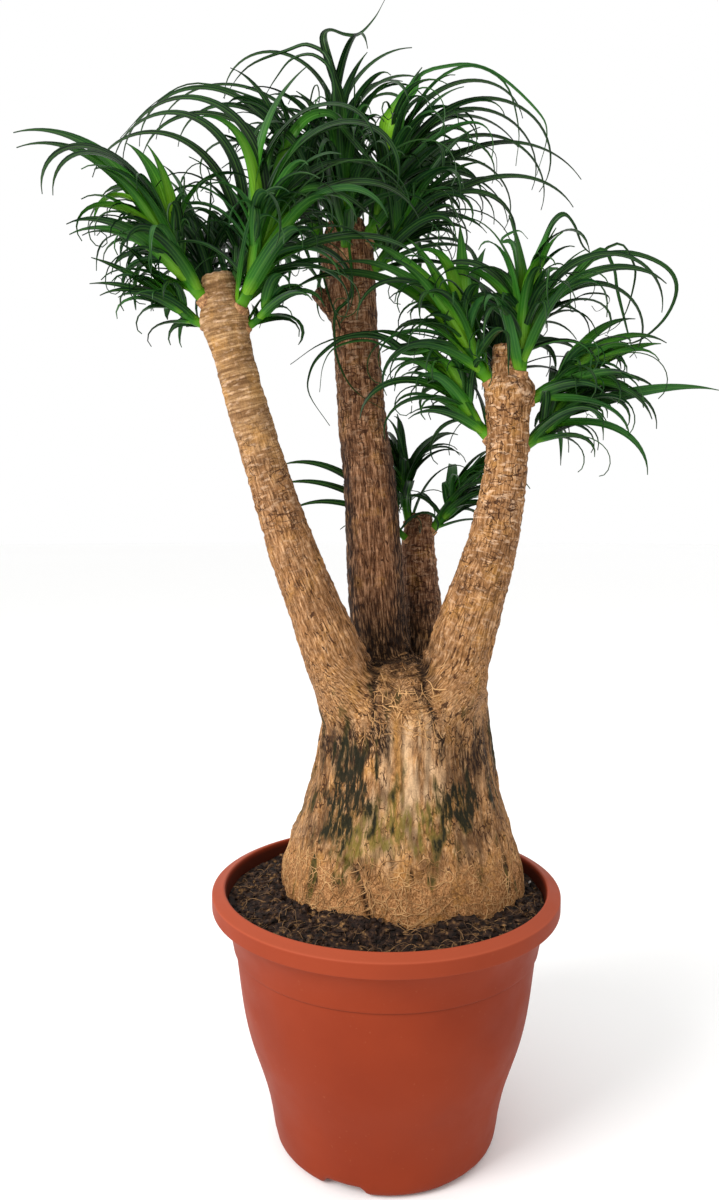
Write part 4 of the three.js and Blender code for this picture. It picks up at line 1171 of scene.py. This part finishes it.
# How fresh a green the leaves show on shoots that stand in the others' shade: painted shade, where 1 is
# full light.
SHADED = dict(
    centre_top_shoot=0.4, centre_left_shoot=0.4, centre_front_shoot=0.6, centre_right_low_shoot=0.5,
    centre_right_upper_shoot=0.6, back_top_shoot=0.4, back_right_shoot=0.6, back_left_shoot=0.4,
    left_low_inner_shoot=0.6, left_low_outer_shoot=0.55, right_low_outer_shoot=0.7,
)
BROADEST_POINTED = 12
DRAWN_SWAY = 12
DRAWN_WAVE = 1.1
DRAWN_ROLL = 75

# Leaves whose whole course shows: a width, how far back the leaf hangs, and the places it passes.
DRAWN_LEAVES = {
    "left_inner_shoot": [
        (9, -70, (-104, 880), (-92, 906), (-80, 900), (-70, 884), (-61, 868), (-53, 855), (-47, 841)),
        (10, -60, (-92, 885), (-72, 918), (-50, 928), (-36, 918), (-25, 907), (-15, 892), (-6, 876),
         (1, 857)),
        (10, -75, (-91, 838), (-77, 856), (-57, 863), (-34, 859), (-19, 849), (-8, 836)),
    ],
    "centre_top_shoot": [
        (9, 30, (-40, 969), (-52, 1008), (-58, 1030), (-52, 1041), (-38, 1043), (-25, 1045), (-11, 1054),
         (-2, 1064)),
        (5, 30, (-50, 1000), (-70, 1028), (-94, 1029), (-130, 1015), (-152, 982)),
        (4, 30, (-48, 990), (-64, 1014), (-87, 1017), (-104, 1004), (-116, 985)),
        (2.5, 30, (-60, 960), (-107, 975), (-173, 990), (-215, 975), (-250, 949)),
    ],
    "centre_right_upper_shoot": [
        (17, 5, (0, 937), (7, 956), (15, 972), (24, 985), (31, 992)),
        (5, 30, (20, 985), (60, 1010), (100, 1010), (142, 976), (150, 949), (139, 909)),
        (4, 30, (30, 975), (70, 1005), (109, 996), (125, 960), (123, 925)),
    ],
    "centre_front_shoot": [
        (3, 30, (-62, 840), (-58, 815), (-50, 789), (-35, 750), (-21, 711)),
        (3.5, 4, (-32, 802), (-46, 779), (-48, 762), (-46, 742), (-36, 720), (-22, 705), (-6, 694)),
    ],
    "right_inner_shoot": [
        (5, -6, (21, 740), (-6, 756), (-38, 758), (-62, 742), (-71, 723), (-70, 703), (-52, 676)),
        (4, -6, (25, 742), (1, 754), (-22, 761), (-60, 753), (-89, 734)),
        (3, -6, (13, 746), (-18, 752), (-46, 746), (-58, 732), (-62, 709)),
    ],
    "right_upper_shoot": [
        (7, -30, (163, 800), (183, 823), (215, 825), (242, 810), (251, 790), (243, 766), (220, 749),
         (195, 756)),
        (5, -30, (178, 821), (197, 814), (205, 795), (212, 771), (216, 745), (218, 732)),
        (3, -30, (194, 830), (213, 814), (213, 790), (205, 764), (185, 753)),
        (2.5, -30, (160, 782), (173, 788), (189, 786), (194, 781), (187, 776), (183, 782)),
        (8, -30, (134, 819), (138, 835), (143, 848), (152, 854), (163, 848), (174, 833), (188, 823)),
        (5, -30, (110, 824), (100, 834), (106, 843), (117, 847), (123, 837)),
    ],
}


def chance(seed):
    """A draw between 0 and 1 that is always the same for the same seed."""
    value = math.sin(seed * 12.9898) * 43758.5453
    return value - math.floor(value)


def mix(pair, share):
    """The value at a share of the way from the first of a pair to the second."""
    return pair[0] + (pair[1] - pair[0]) * share


def stub_line(shoot):
    """The stub's joints and the direction of each of its lengths."""
    foot, along = foot_of(shoot)
    points, directions = [foot], [along]
    for i in range(STUB_STEPS):
        rise = min(88, shoot["rise"] + shoot["lift"] * (i + 0.5) / STUB_STEPS)
        step = along if i == 0 else aim(shoot["heading"], rise)
        points.append(points[-1] + step * shoot["reach"] / STUB_STEPS)
        directions.append(step)
    return points, directions


def along_stub(line, share):
    """The place and the direction at a share of a stub's length."""
    place = min(max(share, 0), 1) * STUB_STEPS
    below = min(int(place), STUB_STEPS - 1)
    points, directions = line
    return points[below] + (points[below + 1] - points[below]) * (place - below), directions[below + 1]


def rule_leaf(shoot, line, order, n, count, seed):
    """The n-th leaf of count round a stub, from low ones that droop to steep ones at the heart."""
    share = n / max(count - 1, 1)
    angle = math.radians(n * GOLDEN_ANGLE + 40 * order)
    splay = math.radians(mix(SPLAYS, share**0.9) + 14 * (chance(seed) - 0.5))
    point, direction = along_stub(line, mix(ROOT_PLACES, share))
    axis = direction + [0, 0, 0.25]
    axis /= np.linalg.norm(axis)
    across = np.cross(axis, [0, 0, 1])
    across /= np.linalg.norm(across)
    over = np.cross(across, axis)
    out = axis * math.cos(splay) + (across * math.cos(angle) + over * math.sin(angle)) * math.sin(splay)
    steepness = math.degrees(math.asin(out[2]))
    rise = mix((LOWEST_RISE, steepness), 0.4) if steepness < LOWEST_RISE else steepness
    shorter = 1 - 0.2 * (2 * share - 1) ** 2
    return dict(
        root=point + out * shoot["girth"] * 0.35,
        heading=math.degrees(math.atan2(out[1], out[0])),
        rise=rise,
        length=shoot["length"] * shorter * mix(LENGTH_SHARES, chance(seed + 0.31)),
        bend=min(rise + 100, mix(BENDS, share) + 60 * (chance(seed + 0.57) - 0.5)),
        width=mix(WIDTHS, share**0.6) * mix((0.8, 1.15), chance(seed + 0.19)),
        drift=DRIFT * (chance(seed + 0.83) - 0.5),
        roll=ROLL * (chance(seed + 0.71) - 0.5),
        heart=share,
    )


def leaf_course(leaf, share):
    """A leaf's heading and rise at shares of its length."""
    heading = leaf["heading"] + leaf["drift"] * share**2 + leaf.get("swirl", 0) * share**4
    return heading, leaf["rise"] - leaf["bend"] * share**1.6 - leaf.get("curl", 0) * share**4


def leaf_line(leaf, steps):
    """A leaf's middle line in a number of straight lengths."""
    moves = aim(*leaf_course(leaf, (np.arange(steps) + 0.5) / steps)) * leaf["length"] / steps
    return leaf["root"] + np.vstack([[0, 0, 0], np.cumsum(moves, axis=0)])


def clear_of_bark(leaf):
    """Whether a leaf stays outside the bark once it has left its stub, and behind the foremost leaf."""
    joints = leaf_line(leaf, 16)
    if joints[:, 1].min() < NEAREST_FRONT:
        return False
    for joint in joints[4:]:
        hit, facing, _, off = bark_tree.find_nearest(Vector(joint) * MM)
        if off < NEAR_BARK and (Vector(joint) * MM - hit).dot(facing) < BARK_GAP:
            return False
    return True


def as_grown(leaf, skin):
    """The leaf turned, raised or shortened the way that the model's node shows it, or None where
    the model had no room for it."""
    best, nearest = None, NODE_GAP
    for share in SHORTER_SHARES:
        for n in range(TURN_TRIES):
            turn = math.ceil(n / 2) * TURN_STEP * (1 if n % 2 else -1)
            tried = {
                **leaf,
                "heading": leaf["heading"] + turn,
                "rise": leaf["rise"] + (n % 3) * RAISE_STEP,
                "length": leaf["length"] * share,
            }
            bends = math.sqrt(tried["length"] * math.radians(tried["bend"]) / (8 * BLADE_SAG))
            joints = leaf_line(tried, max(2, round(bends)))[1:] * MM
            off = max(skin.find_nearest(Vector(joint))[3] for joint in joints)
            if off < nearest:
                best, nearest = tried, off
    return best


def facing_roll(heading, rise, facing):
    """The roll, in degrees, that turns a leaf's upper face towards a direction."""
    along, level = aim(heading, rise), aim(heading - 90, 0)
    return math.degrees(math.atan2(facing @ level, facing @ np.cross(level, along)))


def clasping_leaf(shoot, line, order, n, count):
    """One of the leaves that clasp the stub and fan up from it, its upper face to the stub."""
    seed = 9000 + 100 * order + 1.9 * n
    share = n / max(count - 1, 1)
    angle = math.radians(n * GOLDEN_ANGLE + 25 * order)
    point, direction = along_stub(line, mix(CLASP_PLACES, share))
    across = np.cross(direction, [0, 0, 1])
    across /= np.linalg.norm(across)
    outward = across * math.cos(angle) + np.cross(direction, across) * -math.sin(angle)
    splay = math.radians(mix(CLASP_SPLAYS, share) + 10 * (chance(seed) - 0.5))
    out = direction * math.cos(splay) + outward * math.sin(splay)
    rise = math.degrees(math.asin(out[2]))
    heading = math.degrees(math.atan2(out[1], out[0]))
    return dict(
        root=point + outward * shoot["girth"] * mix((0.42, 0.2), share),
        heading=heading,
        rise=rise,
        length=min(shoot["length"], LONGEST_CLASPER) * mix(CLASP_LENGTHS, chance(seed + 0.31)),
        bend=min(mix(CLASP_BENDS, share) + 30 * (chance(seed + 0.57) - 0.5), rise + STEEPEST_DROOP),
        curl=mix(CLASP_CURLS, chance(seed + 0.47)),
        width=shoot["girth"] * mix(CLASP_WIDTHS, chance(seed + 0.19)),
        drift=70 * (chance(seed + 0.83) - 0.5),
        roll=facing_roll(heading, rise, -outward),
        heart=mix((0.35, 0.95), share),
    )


def curling_leaf(shoot, line, order, n, count, thread):
    """A narrow leaf between the others, or a thread, that curls over at its end."""
    seed = 5000 + 100 * order + 2.3 * n + (50 if thread else 0)
    leaf = rule_leaf(shoot, line, order + 0.5, n if thread else 0.35 * count + 0.65 * n, count, seed)
    leaf["width"] *= mix(THREAD_WIDTHS if thread else FILLER_WIDTHS, chance(seed + 0.12))
    leaf["length"] *= mix(THREAD_LENGTHS if thread else FILLER_LENGTHS, chance(seed + 0.43))
    leaf["curl"] = mix(THREAD_CURLS if thread else FILLER_CURLS, chance(seed + 0.61) ** 1.5)
    leaf["swirl"] = (160 if thread else 90) * (chance(seed + 0.97) - 0.5)
    leaf["bend"] = min(leaf["bend"], leaf["rise"] + STEEPEST_DROOP)
    leaf["heart"] *= 0.5
    return leaf


BLADE_ACROSS = np.array([-1, -0.5, 0, 0.5, 1, 0.5, 0, -0.5])
BLADE_UNDER = np.array([0, 0, 0, 0, 0, 1, 1, 1])
BLADE_POINTS = len(BLADE_ACROSS)


def leaf_blade(leaf, tone):
    """A leaf's closed blade: channelled above, keeled below, drawn out to a thread. Gives its
    points, its faces and what its material reads."""
    if "course" in leaf:
        line = flowing(leaf["course"], 5)
        steps = len(line) - 1
        share = np.linspace(0, 1, steps + 1)
        along = np.gradient(line, axis=0)
        along /= np.linalg.norm(along, axis=1)[:, None]
        level = np.broadcast_to([0.0, math.copysign(1, line[0, 0] - line[-1, 0]), 0.0], along.shape)
    else:
        steps = max(7, min(34, round(leaf["length"] / FINE_STEP)))
        line = leaf_line(leaf, steps)
        share = np.linspace(0, 1, steps + 1)
        heading, rise = leaf_course(leaf, share)
        along, level = aim(heading, rise), aim(heading - 90, 0 * heading)
    roll = math.radians(leaf["roll"])
    over = np.cross(level, along)
    across = level * math.cos(roll) - over * math.sin(roll)
    over = np.cross(across, along)
    full = leaf["width"] * np.minimum(1, 0.6 + 2.4 * share) * (1 - share ** leaf.get("full_to", 1.8))
    half = np.maximum(full, TIP_WIDTH)[:, None] / 2
    channel = half * (0.16 + 0.34 * (1 - share[:, None]) ** 2)
    lift = channel * (BLADE_ACROSS**2 - 0.4)
    thick = np.maximum(0.4, 0.035 * full)[:, None]
    ripple = 0.06 * half * np.sin(9 * share + 6 * tone)[:, None] * BLADE_ACROSS
    rings = (
        line[:, None]
        + across[:, None] * (half * BLADE_ACROSS)[..., None]
        + over[:, None] * (lift - thick * BLADE_UNDER * (1.9 - np.abs(BLADE_ACROSS)) + ripple)[..., None]
    )
    further = share * max(1, leaf.get("length", 0) / LIME_REACH)
    fresh = leaf["heart"] * (1.75 - 0.5 * tone) - 1.4 * further**0.8 + 0.1 + 0.45 * hump(further, 0, 0.1)
    fresh = np.repeat(np.clip(fresh, 0, 1), BLADE_POINTS)
    fresh *= np.tile(1 - 0.45 * np.abs(BLADE_ACROSS) ** 1.5, steps + 1)
    read = dict(
        leaf_across=np.tile(BLADE_ACROSS, steps + 1),
        leaf_along=np.repeat(share, BLADE_POINTS),
        leaf_under=np.tile(BLADE_UNDER, steps + 1),
        leaf_tone=np.full((steps + 1) * BLADE_POINTS, tone),
        leaf_fresh=fresh,
        leaf_vein=(half * BLADE_ACROSS).ravel(),
    )
    return rings.reshape(-1, 3), capped(steps + 1, BLADE_POINTS), read


# A living palm leaf: a tough waxy skin, satin on top and duller and bluer below; yellow-green at its
# heart and base, deep green to nearly black further out. Its lengthwise veins are 1 mm apart, drawn
# 2.2 mm apart so that they show.
waxy_leaf, tree = new_material("waxy_palm_leaf")
trait = {
    name: add(tree, "Attribute", attribute_name="leaf_" + name).outputs["Fac"]
    for name in ("across", "along", "under", "tone", "fresh", "vein")
}
place = add(tree, "TexCoord").outputs["Object"]
cloud = add(tree, "TexNoise", {"Vector": place, "Scale": 38.0, "Detail": 4.0})
green = add(
    tree,
    "ValToRGB",
    {"Fac": trait["tone"]},
    [(0.0, "#020A03"), (0.5, "#05190A"), (0.8, "#0D320D"), (1.0, "#2A5A24")],
)
ribs = add(tree, "Math", {0: trait["vein"], 1: 2.8}, operation="MULTIPLY")
ribs = add(tree, "Math", {0: ribs}, operation="SINE")
for source, low, high, most, paint in (
    (cloud, 0.35, 0.7, 0.4, "#16441A"),
    (trait["along"], 0.7, 1.0, 0.5, "#0A1A11"),
    (trait["fresh"], 0.0, 0.5, 0.95, "#2C6A08"),
    (trait["fresh"], 0.4, 1.0, 0.9, "#79AE1C"),
    (trait["under"], 0.4, 1.0, 0.25, "#1C4424"),
    (ribs, 0.2, 1.0, 0.17, "#5C8F38"),
):
    amount = add(tree, "MapRange", {0: source, 1: low, 2: high, 3: 0.0, 4: most})
    green = add(tree, "Mix", {0: amount, 6: green, 7: paint}, data_type="RGBA")
midrib = add(tree, "Math", {0: trait["across"]}, operation="ABSOLUTE")
midrib = add(tree, "MapRange", {0: midrib, 1: 0.0, 2: 0.2, 3: 0.25, 4: 0.0})
green = add(tree, "Mix", {0: midrib, 6: green, 7: "#5E8C3A"}, data_type="RGBA")
vein_relief = add(tree, "Bump", {"Height": ribs, "Strength": 0.3, "Distance": 0.0003})
wax = add(tree, "MapRange", {0: cloud, 1: 0.3, 2: 0.7, 3: 0.32, 4: 0.48})
living = add(
    tree,
    "BsdfPrincipled",
    {"Base Color": green, "Roughness": wax, "Normal": vein_relief, "IOR": 1.43, "Specular IOR Level": 0.15},
)
add(tree, "OutputMaterial", {"Surface": living})

collars = []
for order, one in enumerate(SHOOTS):
    line = stub_line(one)
    skin = surface_of(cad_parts[one["name"]].data)
    leaves = []
    for n, (heading, rise, length, bend, width) in enumerate(one["leading"]):
        root = along_stub(line, mix(LEADING_PLACES, n / len(one["leading"])))[0]
        heart = mix((0.95, 0.2), min(max(bend - 40, 0) / 110, 1))
        heart *= LOW_HEART if rise < LOW_RISE and length > LONG_BLADE else 1
        leaves.append(
            dict(
                root=root, heading=heading, rise=rise, length=length, bend=bend, drift=0,
                width=width * (0.8 if bend >= ARCHED_BEND else 1),
                roll=LEADING_ROLL * math.cos(math.radians(heading)), heart=heart,
                full_to=2.4,
            )
        )
    for n in range(one["blades"]):
        leaves.append(rule_leaf(one, line, order, n, one["blades"], 100 * order + 1.7 * n + 3))
    leaves = [grown for grown in (as_grown(leaf, skin) for leaf in leaves) if grown]
    for n, leaf in enumerate(leaves):
        leaf["curl"] = (15 if n < len(one["leading"]) else 90) * chance(17 * order + 1.3 * n)
    rear = "rear" in one["name"]
    crowded = (one["girth"] - SPARSEST_GIRTH) / (FULL_GIRTH - SPARSEST_GIRTH)
    share_of_full = crowded**1.3 * (1.2 if rear else 1)
    fillers, threads = round(FILLERS * share_of_full), round(THREADS * share_of_full)
    claspers = round(CLASPERS * min(1, 0.25 + share_of_full))
    finer = [clasping_leaf(one, line, order, n, claspers) for n in range(claspers)]
    finer += [curling_leaf(one, line, order, n, fillers, False) for n in range(fillers)]
    finer += [curling_leaf(one, line, order, n, threads, True) for n in range(threads)]
    leaves += [leaf for leaf in finer if clear_of_bark(leaf)]
    for width, depth, *places in DRAWN_LEAVES.get(one["name"], []):
        course = [along_stub(line, 0.8)[0]]
        for n, (x, z) in enumerate(places):
            course.append(np.array([x, depth + DRAWN_SWAY * math.sin(DRAWN_WAVE * n + width), z]))
        blunt = width > BROADEST_POINTED
        heart, full_to = (0.1 * width, 5) if blunt else (0.05 * width, 1.8)
        leaves.append(dict(course=course, width=width, roll=DRAWN_ROLL, heart=heart, full_to=full_to))
    for leaf in leaves:
        # Rear shoots and shaded ones show less fresh green: painted shade.
        leaf["heart"] *= 0.25 if rear else SHADED.get(one["name"], 1)

    foot, along = foot_of(one)
    stub = flowing([foot - along * 6, *line[0], line[0][-1] + line[1][-1] * one["girth"] * 0.8], 6)
    place_along = np.linspace(0, 1, len(stub))
    ringed = 1 + 0.03 * np.sin(place_along * one["reach"] * 0.4)
    girth = one["girth"] * mix(STUB_GIRTHS, place_along) * ringed
    girth[-4:] *= [0.9, 0.75, 0.5, 0.25]
    points, faces = tube(stub, girth, 14)
    first = len(points)
    points = [points]
    fresh = np.repeat(np.clip(0.95 - 1.5 * place_along, 0.2, 1), 14)
    reads = [
        dict(
            leaf_across=np.full(first, 0.5), leaf_along=np.zeros(first), leaf_under=np.zeros(first),
            leaf_tone=np.full(first, 0.6), leaf_fresh=fresh, leaf_vein=np.repeat(stub[:, 2], 14) * 0.25,
        )
    ]
    # Darker greens on the rear and most shaded shoots: painted shade.
    deepest = 0.6 if rear or SHADED.get(one["name"], 1) < 0.5 else 1
    for n, leaf in enumerate(leaves):
        arched = n < len(one["leading"]) and leaf["bend"] >= ARCHED_BEND
        tone = deepest * chance(31 * order + n * 1.37) * (0.6 if arched else 1)
        some, some_faces, read = leaf_blade(leaf, tone)
        points.append(some)
        faces += [[first + v for v in face] for face in some_faces]
        reads.append(read)
        first += len(some)
    head = new_piece(one["name"].replace("_shoot", "_leaves"), np.vstack(points), faces, waxy_leaf)
    give_traits(head.data, {name: np.concatenate([read[name] for read in reads]) for name in reads[0]})
    head.data.set_sharp_from_angle(angle=SHARP_ANGLE)
    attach(head, "root")
    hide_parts(one["name"])

    levels = np.array([-8, -4, -1, 0.6, 1.4, 1.6, 0.8])
    flare = one["girth"] * 0.7 + np.array([1.1, 1.1, 1.0, 0.8, 0.4, -0.4, -1.4])
    some, some_faces = tube(foot + along * levels[:, None], flare, 24)
    ragged = 0.7 * (grain(some, 3.5, 20) - 0.5)[:, None] * (some - foot) / one["girth"]
    collars.append((some + ragged, some_faces))

# The collar of an old leaf scar round each stub's foot: bark that has swollen round it, rusty tan
# with a dark split edge.
scar_cork, tree = new_material("scar_cork")
place = add(tree, "TexCoord").outputs["Object"]
split_rim = add(tree, "TexNoise", {"Vector": place, "Scale": 300.0, "Detail": 5.0, "Roughness": 0.65})
shade = add(tree, "ValToRGB", {"Fac": split_rim}, [(0.36, "#5A3A22"), (0.50, "#93663E"), (0.64, "#BE9060")])
ragged = add(tree, "Bump", {"Height": split_rim, "Strength": 0.6, "Distance": 0.001})
scar = add(tree, "BsdfPrincipled", {"Base Color": shade, "Normal": ragged, "Roughness": 0.8})
add(tree, "OutputMaterial", {"Surface": scar})
collar_rings = new_piece("scar_collars", *joined(collars), scar_cork)
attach(collar_rings, "root")
